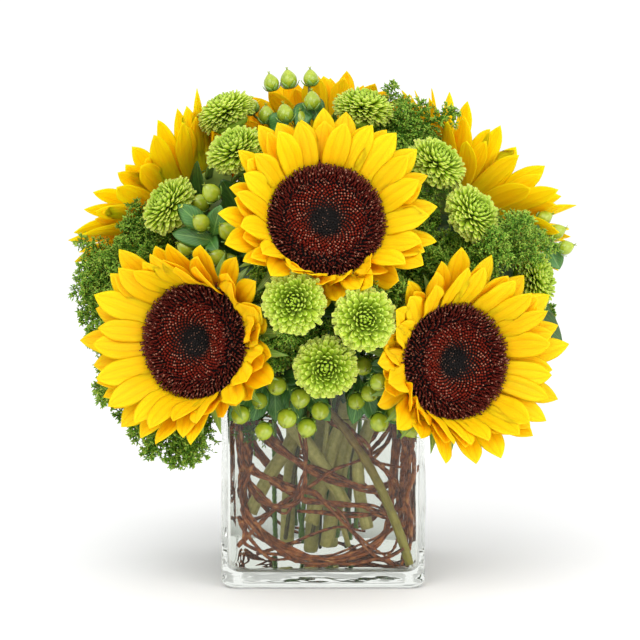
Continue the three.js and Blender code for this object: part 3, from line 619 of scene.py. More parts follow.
def petal_look(name, glow, depth):
    look = Look(
        name, Specular_IOR_Level=0.15, Subsurface_Weight=glow, Subsurface_Scale=depth,
        Subsurface_Radius=(1.0, 0.45, 0.04),
    )
    streaks = look.stripes(15.0, 1.3)
    golden = look.ramp(streaks, (0.3, "f0ae00"), (0.5, "f9bf00"), (0.72, "ffcc05"))
    along = look.grain("along")
    base = look.ramp(along, (0.0, "d27a02"), (0.12, "eda502"), (0.35, "fabf02"), (1.0, "ffca05"))
    # Painted shade: curled petals are mixed towards a deeper orange (f5a602) for the shade of their folds.
    curl_shaded = look.mix(look.math("MULTIPLY", look.grain("kind"), 0.25), look.mix(0.5, golden, base), "f5a602")
    toned = look.mix(0.3, curl_shaded, look.ramp(look.grain("tone"), (0.0, "efab00"), (1.0, "ffd40a")))
    pleats = look.math("COSINE", look.math("MULTIPLY", look.grain("across"), TURN * PETAL_PLEATS))
    # Painted shade: the grooves between the pleats are painted a darker gold (e09800).
    groove_shade = look.ramp(pleats, (0.6, 0.0), (0.98, 0.22))
    look.roughness(streaks, 0.5, 0.68)
    look.bump(look.math("SUBTRACT", streaks, look.math("MULTIPLY", groove_shade, 0.8)), 0.5, 0.0006)
    return look.colour(look.mix(groove_shade, toned, "e09800"))


def floret_look():
    """Dark florets in rings of wine red round a nearly black middle, with pale specks on the open ones."""
    look = Look("seed disc", Roughness=0.75, Specular_IOR_Level=0.12)
    outwards = look.grain("kind")
    foot = look.ramp(
        outwards, (0.0, "080808"), (0.26, "0a0908"), (0.36, "350a04"), (0.6, "560f08"), (0.8, "3e0805"),
        (1.0, "340604"),
    )
    tip = look.ramp(
        outwards, (0.0, "1e1d1c"), (0.24, "1a1716"), (0.36, "6e2412"), (0.5, "7c2614"), (0.66, "722014"),
        (0.82, "66241a"), (1.0, "7c4234"),
    )
    # Painted shade: each floret is darker at its foot than at its tip.
    lit = look.mix(look.ramp(look.grain("along"), (0.35, 0.0), (1.0, 1.0)), foot, tip)
    chance = look.ramp(look.grain("tone"), (0.7, 0.0), (0.76, 0.85))
    speck = look.math("MULTIPLY", chance, look.ramp(look.grain("along"), (0.72, 0.0), (0.95, 1.0)))
    clear_of_middle = look.ramp(outwards, (0.26, 0.4), (0.4, 1.0))
    return look.colour(look.mix(look.math("MULTIPLY", speck, clear_of_middle), lit, "b0806a"))


def green_look(name, dark, light, roughness, scale, bump, **fixed):
    """A plant's skin, mottled, and streaked along each piece. Also gives the skin's colour."""
    look = Look(name, Roughness=roughness, **fixed)
    both = look.halves(look.noise(look.place(), scale), look.stripes(9.0, 3.0))
    look.bump(both, bump, 0.0005)
    return look, look.ramp(both, (0.3, dark), (0.7, light))


def stem_look(name, dark, light):
    look, skin = green_look(name, dark, light, 0.5, 420.0, 0.4)
    return look.colour(skin)


def leaf_look(name, dark, light, vein):
    look, skin = green_look(
        name, dark, light, 0.42, 180.0, 0.25, Subsurface_Weight=0.08, Subsurface_Scale=0.003
    )
    middle = look.off_middle()
    rib = look.ramp(middle, (0.0, 1.0), (0.05, 0.0))
    along = look.math("MULTIPLY", look.grain("along"), 9.0)
    slant = look.math("SUBTRACT", along, look.math("MULTIPLY", middle, 7.0))
    side = look.math("ABSOLUTE", look.math("SUBTRACT", look.math("FRACT", slant), 0.5))
    net = look.ramp(side, (0.0, 0.7), (0.09, 0.0))
    toned = look.mix(look.math("MULTIPLY", look.grain("tone"), 0.35), skin, light)
    return look.colour(look.mix(look.math("MAXIMUM", rib, net), toned, vein))


def mum_look():
    look = Look(
        "chrysanthemum", Roughness=0.55, Specular_IOR_Level=0.25, Subsurface_Weight=0.3,
        Subsurface_Scale=0.002, Subsurface_Radius=(0.6, 1.0, 0.1),
    )
    # Painted shade: the florets, inner and outer, are darker towards their feet, deep in the head.
    body = look.ramp(look.grain("along"), (0.0, "5f7c08"), (0.4, "92b11a"), (0.7, "b4cf30"), (1.0, "dcea74"))
    heart = look.ramp(look.grain("along"), (0.0, "3e5a06"), (0.6, "6b8e0f"), (1.0, "95b424"))
    tone = look.ramp(look.grain("tone"), (0.0, "93b01a"), (1.0, "dceb70"))
    toned = look.mix(0.22, look.mix(look.grain("kind"), heart, body), tone)
    look.bump(look.stripes(8.0, 1.5), 0.3, 0.0004)
    return look.colour(look.mix(look.ramp(look.off_middle(), (0.0, 0.2), (0.12, 0.0)), toned, "6f8f10"))


def berry_look():
    look = Look(
        "hypericum berry", Roughness=0.22, Coat_Weight=0.35, Subsurface_Weight=0.15, Subsurface_Scale=0.002,
        Subsurface_Radius=(0.6, 1.0, 0.15),
    )
    mottle = look.noise(look.place(), 350.0, 4.0)
    skin = look.ramp(mottle, (0.3, "7f9a1c"), (0.55, "a2b62c"), (0.8, "bfc83e"))
    ends = look.ramp(
        look.grain("along"), (0.0, "5f7f14"), (0.3, "9ab02a"), (0.9, "a9b531"), (0.965, "5d5a12"),
        (0.99, "2c2408"),
    )
    sepal = look.ramp(look.grain("along"), (0.0, "4c7a2c"), (1.0, "8fb050"))
    look.bump(mottle, 0.06, 0.0004)
    return look.colour(look.mix(look.grain("kind"), look.mix(0.45, skin, ends), sepal))


def plume_look():
    look = Look(
        "goldenrod bud", Roughness=0.65, Specular_IOR_Level=0.25, Subsurface_Weight=0.2,
        Subsurface_Scale=0.001,
    )
    body = look.ramp(look.grain("tone"), (0.0, "2a540a"), (0.4, "4f8616"), (0.75, "7dae2a"), (1.0, "b9d25a"))
    tip = look.mix(look.ramp(look.grain("along"), (0.2, 0.0), (1.0, 1.0)), body, "abcb50")
    mottle = look.ramp(look.noise(look.place(), 60.0, 2.0), (0.35, "437812"), (0.65, "98bc48"))
    return look.colour(look.mix(0.25, look.mix(look.grain("kind"), body, tip), mottle))


def bark_look():
    look = Look("willow bark", Roughness=0.5, Specular_IOR_Level=0.35)
    both = look.halves(look.noise(look.place(), 210.0, 5.0), look.stripes(5.0, 26.0), 0.55)
    bark = look.ramp(both, (0.34, "200a06"), (0.45, "743820"), (0.55, "c4703a"), (0.68, "f6b872"))
    tone = look.ramp(look.grain("tone"), (0.0, "4a2a1c"), (1.0, "c06c34"))
    look.bump(both, 0.5, 0.0006)
    return look.colour(look.mix(0.25, bark, tone))


def cane_look():
    look = Look("cane bark", Roughness=0.5)
    streaks = look.stripes(6.0, 18.0)
    bark = look.ramp(streaks, (0.3, "6e5720"), (0.5, "a4903a"), (0.7, "cab650"))
    ends = look.ramp(look.grain("along"), (0.0, "7e4a2c"), (0.4, "946a32"), (0.6, "ac9e3c"), (1.0, "a8a644"))
    look.bump(streaks, 0.4, 0.0005)
    return look.colour(look.mix(0.5, bark, ends))


def clear_look(name, ior, colour, waviness=0.0):
    look = Look(name, Roughness=0.0, IOR=ior, Transmission_Weight=1.0, Base_Color=tint(colour))
    if waviness:
        look.bump(look.noise(look.place(), 26.0, 2.0), waviness, 0.004)
    return look.material


LOOKS = {
    "front": petal_look("petal", 0.5, 0.004),
    "back": petal_look("back petal", 0.75, 0.008),
    "florets": floret_look(),
    "bracts": leaf_look("bract", "4d7a22", "86a83e", "a8c060"),
    "stems": stem_look("sunflower stem", "b0a846", "f2e68e"),
    "sprigs": stem_look("green stem", "48781c", "86b43c"),
    "twigs": stem_look("hypericum twig", "5a3a1c", "6f7a2e"),
    "mums": mum_look(),
    "berries": berry_look(),
    "plumes": plume_look(),
    "bark": bark_look(),
    "cane": cane_look(),
    "leaves": leaf_look("dark leaf", "16300f", "3c6a22", "5d8536"),
    "oval leaves": leaf_look("oval leaf", "2a5822", "4e8838", "78a654"),
    "glass": clear_look("clear glass", 1.31, "e7eae5", 0.25),
    "water": clear_look("clear water", 1.04, "ffffff"),
}


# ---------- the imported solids, as room and as stems ----------
class Room:
    """The room left among closed meshes, balls and the cups above open flowers. What is claimed is taken from
    then on."""

    def __init__(self, meshes, balls=(), cups=()):
        points = []
        faces = []
        self.cups = cups
        for mesh in meshes:
            start = len(points)
            points += (points_of(mesh) * MM).tolist()
            faces += [[start + i for i in face.vertices] for face in mesh.polygons]
        self.tree = BVHTree.FromPolygons(points, faces)
        self.balls = np.array(balls, float).reshape(-1, 4)
        self.cells = set()

    def has(self, points, gap, crowd=1.0):
        """Whether no point lies in a piece or nearer to it than the gap, and at most a share is claimed."""
        points = np.reshape(points, (-1, 3))
        for centre in self.balls:
            if (np.linalg.norm(points - centre[:3], axis=1) < centre[3]).any():
                return False
        for at, turn in self.cups:
            local = (points - at) @ turn
            height = local[:, 2]
            wide = np.linalg.norm(local[:, :2], axis=1)
            rim = np.minimum(DISC_RADIUS + CUP_SPREAD * height, CUP_WIDEST)
            if ((height > 1) & (height < CUP_HEIGHT) & (wide < rim)).any():
                return False
        if crowd < 1 and np.mean([c in self.cells for c in self.cells_of(points)]) > crowd:
            return False
        for p in points * MM:
            place = Vector(p)
            nearest, normal, _, distance = self.tree.find_nearest(place)
            if distance < gap * MM or (place - nearest).dot(normal) < 0 and self.holds(place):
                return False
        return True

    def holds(self, place):
        """Whether a point is inside a piece: a ray from it leaves more pieces than it enters."""
        inside = 0
        start = place
        for _ in range(RAY_HITS):
            hit, normal, _, _ = self.tree.ray_cast(start, RAY_WAY)
            if hit is None:
                break
            inside += 1 if normal.dot(RAY_WAY) > 0 else -1
            start = hit + RAY_WAY * RAY_STEP
        return inside > 0

    def cells_of(self, points):
        return [tuple(c) for c in np.floor(np.reshape(points, (-1, 3)) / CELL).astype(int)]

    def claim(self, points):
        self.cells.update(self.cells_of(points))


def bouquet_room(own=(), slim=(), more=()):
    """The room among the bouquet's CAD solids, but for one's own nodes, and among more meshes. A slimmed stem
    takes the place of its node."""
    meshes = {name: node.data for name, node in frame["nodes"].items()} | dict(slim)
    return Room([*more, *[meshes[name] for name in frame["nodes"] if name not in (*own, "vase", "water")]])


def in_box(points):
    """Whether points lie in the CAD model's box, or just outside it."""
    low, high = (np.array(corner) / MM for corner in CAD_BOX)
    return (points > low - BOX_MARGIN).all() and (points < high + BOX_MARGIN).all()


def solid_of(node, thin):
    """The CAD node's mesh with its seams closed, and without its blades thinner than this, in millimetres."""
    bm = bmesh.new()
    bm.from_mesh(frame["nodes"][node].data)
    bmesh.ops.remove_doubles(bm, verts=bm.verts, dist=WELD)
    tree = BVHTree.FromBMesh(bm)
    flat = {face for face in bm.faces if thickness(tree, face) < thin * MM}
    rims = {f for face in flat for edge in face.edges for f in edge.link_faces if slimness(f) < thin * MM}
    bmesh.ops.delete(bm, geom=list(flat | rims), context="FACES")
    bmesh.ops.delete(bm, geom=[v for v in bm.verts if not v.link_faces], context="VERTS")
    bmesh.ops.holes_fill(bm, edges=[e for e in bm.edges if e.is_boundary])
    return bm


def thickness(tree, face):
    """How thick the solid is below a face, in metres."""
    hit = tree.ray_cast(face.calc_center_median() - face.normal * WELD, -face.normal)
    return hit[3] if hit[0] is not None else math.inf


def slimness(face):
    return 2 * face.calc_area() / max(e.calc_length() for e in face.edges)


def rounded(bm, name, voxel, keep):
    """The solid's mesh made anew from small cells, smoothed and thinned out."""
    rough = bpy.data.meshes.new(name + "_rough")
    bm.to_mesh(rough)
    bm.free()
    holder = linked(name + "_rough", rough)
    cells = holder.modifiers.new("cells", "REMESH")
    cells.mode = "VOXEL"
    cells.voxel_size = voxel * MM
    ease = holder.modifiers.new("ease", "SMOOTH")
    ease.factor = 0.5
    ease.iterations = 6
    thinned = holder.modifiers.new("thinned", "DECIMATE")
    thinned.ratio = keep
    evaluated = holder.evaluated_get(bpy.context.evaluated_depsgraph_get())
    mesh = bpy.data.meshes.new_from_object(evaluated)
    mesh.name = name
    bpy.data.objects.remove(holder)
    bpy.data.meshes.remove(rough)
    points = points_of(mesh)
    values = np.zeros((len(points), 4))
    values[:, 0] = points[:, 2] / CAD_BOX[1].z * MM
    values[:, 1:3] = 0.5
    set_grain(mesh, values)
    return mesh


def points_of(mesh):
    points = np.zeros(len(mesh.vertices) * 3)
    mesh.vertices.foreach_get("co", points)
    return points.reshape(-1, 3) / MM


def draw_in(bm, centre, reach, share):
    """Draws a head's points in towards its centre, which leaves a small core of it."""
    middle = Vector(centre) * MM
    for v in bm.verts:
        if (v.co - middle).length < reach * MM:
            v.co = middle + (v.co - middle) * share


# ---------- sunflowers ----------
def sunflower(i, slim):
    plan = SUNFLOWERS[i]
    name = f"sunflower_{i + 1}"
    rng = np.random.default_rng(100 + i)
    at = np.array(plan["at"], float)
    turn = head_turn(plan["face"])
    petals, disc, stem = own = [f"{name}_{part}" for part in ("petals", "disc", "stem")]
    room = bouquet_room(own, slim)
    show(disc_skin(at, turn, rng), f"{name}_florets", "florets", "seed_disc", disc)
    show(petal_skin(plan, at, turn, room, rng), f"{name}_rays", plan["petals"], "petals", petals)
    show(green_skin(at, turn, room, rng), f"{name}_bracts", "bracts", "flower_green", stem)
    stalk = rounded(stem_below_head(stem, at, turn), f"{name}_stalk", voxel=1.3, keep=0.4)
    show(stalk, f"{name}_stalk", "stems", "flower_green", stem)
    return stalk


def disc_skin(at, turn, rng):
    """The domed disc with its florets in a spiral: closed ones inside, and open ones with two curls each."""
    dome = [(r, np.interp(r, *DISC_PROFILE) - 0.8) for r in (34, 31, 27, 23, 19, 15, 11, 7, 3.5, 0.8)]
    skin = Skin().add(placed(turned([*DISC_RIM, *dome], 48), at, turn), kind=0.1)
    index = np.arange(DISC_FLORETS)
    share = np.sqrt((index + 0.5) / DISC_FLORETS)
    outwards = spokes(index * GOLDEN_TURN)
    radius = share * (DISC_RADIUS - 0.4)
    height = np.interp(radius, *DISC_PROFILE)
    slope = (np.interp(radius + 0.6, *DISC_PROFILE) - np.interp(radius - 0.6, *DISC_PROFILE)) / 1.2
    normal = unit(UP - outwards * slope[:, None])
    tall = np.interp(share, [0, 0.3, 0.42, 0.66, 0.8, 1], [1.1, 1.5, 2.0, 2.6, 3.9, 4.4])
    tall = (tall * rng.uniform(0.75, 1.25, DISC_FLORETS))[:, None]
    lean = np.interp(share, [0, 0.35, 0.7, 1], [-0.5, -0.15, 0.1, 0.75])[:, None]
    way = unit(normal + outwards * lean + random_units(rng, DISC_FLORETS) * 0.22)
    root = outwards * radius[:, None] + UP * height[:, None] - normal * 0.8
    tone = rng.uniform(0, 1, DISC_FLORETS)
    tips = root + way * tall
    opened = share > OPEN_FLORETS
    radii = np.where(opened[:, None], [0.52, 0.66, 0.52, 0.44], [0.78, 0.88, 0.76, 0.22])
    radii = radii * np.interp(share, [0, 0.35, 0.5, 1], [0.82, 0.95, 1.05, 1])[:, None]
    paths = curve(4, root, root + way * tall * 0.5, tips)
    skin.add(placed(tubes(paths, radii, 4), at, turn), tone=tone, kind=share)
    aside = unit(np.cross(way, random_units(rng, DISC_FLORETS)))
    tips, way, aside, tone, share = (np.repeat(v[opened], 2, axis=0) for v in (tips, way, aside, tone, share))
    aside[1::2] *= -1
    ends = tips + way * 0.7 + aside * rng.uniform(0.7, 1.3, (len(tips), 1))
    curls = curve(3, tips - way * 0.3, tips + way * 0.8, ends)
    skin.add(placed(tubes(curls, [0.28, 0.26, 0.12], 3), at, turn), tone=tone * 0.8 + 0.2, kind=share)
    return skin


def ray_rings(angle, start, low, lift, bend, length, width, sway, twist, wave, phase):
    """The rings of a petal in its head's own frame. It leaves the head at its lift and bends on the way. Also
    gives each point's column."""
    share = np.linspace(0, 1, PETAL_ROWS)
    slant = lift + bend * (share - 0.3)
    step = length / (PETAL_ROWS - 1)
    reach = start + np.cumsum(np.cos(slant) * step) - np.cos(slant[0]) * step
    height = low + np.cumsum(np.sin(slant) * step) - np.sin(slant[0]) * step
    outwards = spokes(angle)
    drift = np.cross(UP, outwards) * (sway * length * share**2)[:, None]
    path = outwards * reach[:, None] + UP * height[:, None] + drift
    across = np.linspace(-1, 1, PETAL_COLUMNS)
    half = width / 2 * np.interp(share, *PETAL_OUTLINE)
    swell = np.sin(np.pi * np.clip(share * 0.92 + 0.06, 0, 1))[:, None]
    channel = 0.13 * half[:, None] * across**2
    pleats = 0.34 * swell * np.cos(np.pi * PETAL_PLEATS * across)
    edge = wave * np.sin(TURN * (1.4 * share[:, None] + phase)) * across * swell
    turning = np.tan(twist) * share[:, None] * across * half[:, None]
    face = UP * np.cos(lift) - outwards * np.sin(lift)
    return blades(path[None], face, half[None], (channel + pleats + edge + turning)[None], PETAL_THICK)


def lift_towards(plan, way):
    """The petals' lift on one side of the flower, in degrees."""
    upper, lower, left, right = plan["lift"]
    beside = right if way[0] > 0 else left
    return beside + way[2] ** 2 * ((upper if way[2] > 0 else lower) - beside)


def fitted_ray(numbers, lifts, at, turn, room):
    """A petal's rings and columns, with the petal lifted or shortened until it has room, or None."""
    angle, start, low, lift, bend, length, *form = numbers
    for reach in PETAL_REACHES:
        for more in lifts:
            lifted = lift + math.radians(more)
            local, across = ray_rings(angle, start, low, lifted, bend, length * reach, *form)
            world = placed(local, at, turn)
            if room.has(world[0, 3::3, ::5], LEAST_GAP):
                return world, across
    return None


def petal_skin(plan, at, turn, room, rng):
    """Three layers of petals. One that finds no room is left out."""
    skin = Skin()
    side = turn.T @ np.array(plan.get("curled", (0, 0, -1)), float)
    curled_at = math.atan2(side[1], side[0])
    spread = math.radians(plan.get("spread", 0))
    counts, usual_length, usual_width = PETALS[plan["petals"]]
    for layer, (count, (start, low, layer_lift, layer_length)) in enumerate(zip(counts, PETAL_LAYERS)):
        for k in range(count):
            angle = (k + 0.5 * (layer == 1) + rng.uniform(-0.25, 0.25)) / count * TURN
            off = abs((angle - curled_at + math.pi) % TURN - math.pi)
            curled = off < spread * rng.uniform(0.75, 1.15)
            way = turn @ spokes(angle)
            lift = math.radians(lift_towards(plan, way) + layer_lift + rng.uniform(-6, 6))
            bend = math.radians(rng.uniform(-30, -4))
            length = usual_length * layer_length * rng.uniform(0.86, 1.07)
            if plan["petals"] == "back":
                length *= np.interp(way[2], *HANGING)
            twist = rng.uniform(-0.22, 0.22)
            wave = rng.uniform(0.2, 1.0)
            if curled:
                lift += math.radians(rng.uniform(-8, 10))
                bend = math.radians(rng.uniform(-25, 30))
                length *= rng.uniform(0.55, 0.85)
                twist = rng.uniform(-0.8, 0.8)
                wave = rng.uniform(0.9, 2.0)
            width = usual_width * rng.uniform(0.8, 1.1)
            sway = rng.uniform(-0.1, 0.1)
            phase = rng.uniform(0, 1)
            tone = rng.uniform(0, 1)
            numbers = (angle, start, low, lift, bend, length, width, sway, twist, wave, phase)
            found = fitted_ray(numbers, LIFTS_TRIED[plan["petals"]], at, turn, room)
            if found:
                skin.add(found[0], across=found[1], tone=tone, kind=float(curled))
    return skin


def green_skin(at, turn, room, rng):
    """The green cup under the disc, with its two layers of pointed bracts."""
    skin = Skin().add(placed(turned(CUP_PROFILE, 36), at, turn))
    rows = 9
    share = np.linspace(0, 1, rows)
    across = np.linspace(-1, 1, 5)
    half = BRACT_HALF * np.interp(share, [0, 0.2, 0.5, 1], [0.8, 1, 0.66, 0.03])
    rise = 0.2 * half[:, None] * across**2 + 0.25 * np.cos(TURN * across) * (1 - share[:, None])
    for k in range(BRACTS):
        layer = k % 2
        outwards = spokes((k + rng.uniform(-0.2, 0.2)) / BRACTS * TURN)
        length = rng.uniform(22, 28)
        bend = rng.uniform(-50, -10)
        for lift in BRACT_LIFTS:
            slant = np.radians(lift + 12 * layer + bend * share)
            reach = 33 + np.cumsum(np.cos(slant)) * length / rows
            height = -8 - 2 * layer + np.cumsum(np.sin(slant)) * length / rows
            path = outwards * reach[:, None] + UP * height[:, None]
            local, column = blades(path[None], UP, half[None], rise[None], PETAL_THICK)
            world = placed(local, at, turn)
            if room.has(world[0, 3::2, ::3], LEAST_GAP):
                skin.add(world, across=column, tone=rng.uniform(0, 1))
                break
    return skin


def stem_below_head(node, at, turn):
    """The flower's stem without cup, bracts and leaves: what lies below the head's plane."""
    bm = solid_of(node, thin=1.6)
    under = Vector(at - turn @ UP * HEAD_DEPTH) * MM
    cut = bmesh.ops.bisect_plane(
        bm, geom=bm.verts[:] + bm.edges[:] + bm.faces[:], plane_co=under,
        plane_no=Vector(turn @ UP), clear_outer=True,
    )
    bmesh.ops.holes_fill(bm, edges=[e for e in cut["geom_cut"] if isinstance(e, bmesh.types.BMEdge)])
    keep_largest(bm)
    return bm


def joined(vertex, step=math.inf):
    """The points joined to a point by edges shorter than a step, in metres."""
    group = {vertex}
    edge_of = [vertex]
    while edge_of:
        here = edge_of.pop()
        near = {e.other_vert(here) for e in here.link_edges if e.calc_length() < step} - group
        group |= near
        edge_of += near
    return group


def keep_largest(bm):
    left = set(bm.verts)
    groups = []
    while left:
        groups.append(joined(next(iter(left))))
        left -= groups[-1]
    largest = max(groups, key=len)
    bmesh.ops.delete(bm, geom=[v for v in bm.verts if v not in largest], context="VERTS")


# ---------- chrysanthemums ----------
def mum_skin(skin, at, turn, rng):
    """Spoon-shaped florets all round the head, the inner ones curved in over its middle."""
    index = np.arange(MUM_FLORETS)
    polar = np.arccos(1 - (1 - math.cos(MUM_WIDEST)) * (index + 0.5) / MUM_FLORETS)
    outwards = spokes(index * GOLDEN_TURN + rng.uniform(-0.1, 0.1, MUM_FLORETS))
    way = outwards * np.sin(polar)[:, None] + UP * np.cos(polar)[:, None]
    outer = np.clip((polar - 0.3) / 0.75, 0, 1)
    droop = outer[:, None]
    size = np.array([1, 1, MUM_FLATTEN])
    long = MUM_RADIUS * rng.uniform(0.93, 1.07, MUM_FLORETS)
    long = long * np.interp(polar, [0, 0.35, 0.8, 1.4, 2.1], [0.74, 0.84, 0.99, 1.04, 0.92])
    root = way * 6.5 * size
    tip = way * long[:, None] * size
    bow = (root + tip) / 2 + outwards * (1.6 + 1.4 * droop) - UP * 0.8 * droop
    inwards = (UP * 1.1 - way - outwards * 0.5) * (1 - droop) * 2.6
    down = (outwards * 0.5 - UP * 0.6) * droop * 1.6
    paths = curve(5, root, bow, tip + inwards + down + random_units(rng, MUM_FLORETS) * 0.6)
    wide = np.interp(polar, [0, 0.3, 0.9, 2.1], [0.75, 0.95, 1.5, 1.75])[:, None]
    half = wide * np.array([0.6, 0.86, 1.04, 1.14, 0.74])
    rise = 0.5 * half[..., None] * np.linspace(-1, 1, 5) ** 2
    face = unit(UP * 0.9 - outwards * 0.75)[:, None]
    rings, column = blades(paths, face, half, rise, 0.55)
    skin.add(placed(rings, at, turn), across=column, tone=rng.uniform(0, 1, MUM_FLORETS), kind=outer)


def chrysanthemum(i):
    node = f"chrysanthemum_{i + 1}"
    rng = np.random.default_rng(200 + i)
    bm = solid_of(node, thin=1.6)
    skin = Skin()
    for at in np.array(MUM_SPRAYS[i], float):
        draw_in(bm, at, MUM_RADIUS + 3, 0.42)
        turn = head_turn(unit(at - HEART))
        skin.add(placed(turned(MUM_CUP, 20), at, turn), tone=0.2, kind=0)
        mum_skin(skin, at, turn, rng)
    show(skin, f"{node}_heads", "mums", "chrysanthemum", node)
    stem = rounded(bm, f"{node}_stalk", voxel=0.85, keep=0.3)
    show(stem, f"{node}_stalk", "sprigs", "chrysanthemum", node)
    return stem


# ---------- hypericum ----------
def berry_skin(skin, at, turn, rng, scale):
    """A berry with a blunt point, three styles on top and five sepals below."""
    size = BERRY_RADIUS * rng.uniform(0.92, 1.06) * scale
    polar = np.linspace(math.pi * 0.94, 0.04, 11)
    profile = [(math.sin(p), math.cos(p) + 0.3 * max(math.cos(p), 0) ** 8) for p in polar]
    rings = turned(profile, BERRY_SIDES)
    around = np.arange(BERRY_SIDES) * TURN / BERRY_SIDES
    rings[..., :2] *= (1 + 0.03 * np.cos(3 * around))[:, None]
    skin.add(placed(rings * size, at, turn), tone=rng.uniform(0, 1), kind=0)
    outwards = spokes((np.arange(3) + rng.uniform()) * TURN / 3)
    top = UP * size * 1.25 + outwards * 0.2
    styles = curve(4, top, top + UP * 1.3, top + UP * 1.6 + outwards * 1.2)
    skin.add(placed(tubes(styles, [0.32, 0.26, 0.2, 0.12], 4), at, turn), tone=0, kind=0)
    outwards = spokes((np.arange(5) + rng.uniform()) * TURN / 5)
    root = -UP * size * 1.02 + outwards * 0.8
    bow = outwards * size * 0.95 - UP * size * 1.05
    paths = curve(6, root, bow, outwards * size * rng.uniform(1.08, 1.35, (5, 1)) - UP * size * 0.12)
    half = 2.2 * np.interp(np.linspace(0, 1, 6), [0, 0.25, 0.6, 1], [0.5, 0.95, 0.9, 0.06])
    rise = -0.25 * np.broadcast_to(half[:, None] * np.linspace(-1, 1, 5) ** 2, (5, 6, 5))
    local, across = blades(paths, (outwards - UP)[:, None], np.broadcast_to(half, (5, 6)), rise, 0.5)
    skin.add(placed(local, at, turn), across=across, tone=rng.uniform(0, 1, 5), kind=1)


def hypericum(i):
    node = f"hypericum_{i + 1}"
    rng = np.random.default_rng(300 + i)
    large = np.array(BERRY_SPRAYS[i], float)
    bm = solid_of(node, thin=1.2)
    for at in large:
        draw_in(bm, at, BERRY_RADIUS + 2.4, 0.6)
    stem = rounded(bm, f"{node}_stalk", voxel=0.8, keep=0.3)
    tree = search_tree(stem)
    skin = Skin()
    twigs = Skin()
    for at in large:
        berry_skin(skin, at, head_turn(unit(at - HEART)), rng, BERRY_SCALE[i])
    for at in np.array(SMALL_SPRAYS[i], float):
        outwards = unit(at - HEART)
        below = at - outwards * BERRY_RADIUS
        root = nearest_on(tree, below - outwards * TWIG_REACH)
        path = curve(8, root, (root + below) / 2 - outwards * 3, below - outwards * 4, below + outwards)
        twigs.add(tubes(path, np.linspace(1.1, 0.8, 8), 6), tone=0.4)
        face = unit(outwards + random_units(rng, 1)[0] * 0.35)
        berry_skin(skin, at, head_turn(face), rng, BERRY_SCALE[i])
    show(skin, f"{node}_berries", "berries", "hypericum", node)
    show(stem, f"{node}_stalk", "twigs", "hypericum", node)
    show(twigs, f"{node}_twigs", "twigs", "hypericum", node)
    return stem


# ---------- goldenrod ----------
def plume_axes(bm):
    """The root and tip of each plume. It ends in a small even ring of six points, and the ring before that
    lies a known share of its length back."""
    axes = []
    seen = set()
    for vertex in bm.verts:
        if vertex in seen:
            continue
        ring = joined(vertex, TIP_STEP * MM)
        seen |= ring
        before = {edge.other_vert(v) for v in ring for edge in v.link_edges} - ring
        tip = middle_of(ring)
        widest = max(np.linalg.norm(np.array(v.co) / MM - tip) for v in ring)
        if len(ring) == 6 and len(before) == 6 and widest < TIP_RADIUS:
            axes.append((tip + (middle_of(before) - tip) * PLUME_BACK, tip))
    return axes


def middle_of(vertices):
    return np.mean([v.co[:] for v in vertices], axis=0) / MM


def slim_plume(bm, root, tip):
    """Draws a plume's points in towards its axis, which leaves a slim core."""
    length = np.linalg.norm(tip - root)
    axis = Vector((tip - root) / length)
    low = Vector(root) * MM
    for v in bm.verts:
        run = (v.co - low).dot(axis)
        on_axis = low + axis * run
        if 0 < run < (length + 3) * MM and (v.co - on_axis).length < (PLUME_RADIUS + 3) * MM:
            v.co = on_axis + (v.co - on_axis) * PLUME_CORE


def points_at(path, share):
    """The points at shares of a path."""
    return np.stack([np.interp(share, np.linspace(0, 1, len(path)), axis) for axis in path.T], -1)


def two_sides(way):
    """Two directions square to a direction and to each other."""
    side = unit(np.cross(way, UP + 0.01))
    return side, np.cross(way, side)


def plume_skin(skin, root, tip, radius, rng, room, own=False):
    """Fine side sprays round an axis, each set with buds. Those that would meet another piece are left out. A
    plume stops where its axis would meet one, unless its own stalk is in the room."""
    length = np.linalg.norm(tip - root)
    along = (tip - root) / length
    sag = np.cross(along, np.cross(along, UP)) * length * 0.06
    spine = curve(PLUME_ROWS, root, (root + tip) / 2 - sag, tip)
    blocked = [] if own else [k for k in range(3, PLUME_ROWS) if not room.has(spine[0, k], 0.9)]
    if blocked and blocked[0] < PLUME_ROWS // 2:
        return
    if blocked:
        tip = spine[0, blocked[0] - 1]
        length = np.linalg.norm(tip - root)
        spine = curve(PLUME_ROWS, root, (root + tip) / 2 - sag * 0.5, tip)
    skin.add(tubes(spine, np.linspace(0.9, 0.3, PLUME_ROWS), 5), tone=0.2, kind=0)
    count = int(length * SPRAYS_PER_MM)
    share = (np.arange(count) + 0.5) / count
    where = points_at(spine[0], share)
    side, other = two_sides(along)
    angle = np.arange(count) * GOLDEN_TURN + rng.uniform(-0.3, 0.3, count)
    outwards = np.cos(angle)[:, None] * side + np.sin(angle)[:, None] * other
    reach = (radius * np.interp(share, *PLUME_OUTLINE) * rng.uniform(0.75, 1.2, count))[:, None]
    forward = along * reach * rng.uniform(0.35, 0.9, (count, 1)) - UP * reach * 0.06
    fits = np.zeros((count, 1))
    for k in range(count):
        for size in (1, 0.65, 0.4):
            end = where[k] + (outwards[k] * reach[k] + forward[k]) * size
            if in_box(end) and room.has([end, where[k] * 0.4 + end * 0.6], 0.8):
                fits[k] = size
                break
    kept = fits[:, 0] > 0
    if not kept.any():
        return
    where, outwards, reach, forward, fits = (v[kept] for v in (where, outwards, reach, forward, fits))
    end = where + (outwards * reach + forward) * fits
    bow = where + (outwards * 0.55 + along * 0.7) * reach * fits
    sprays = curve(4, where, bow, end)
    skin.add(tubes(sprays, [0.4, 0.32, 0.26, 0.14], 3), tone=0.25, kind=0)
    room.claim(sprays[:, 1:])
    bud_skin(skin, sprays, unit(end - where), rng)


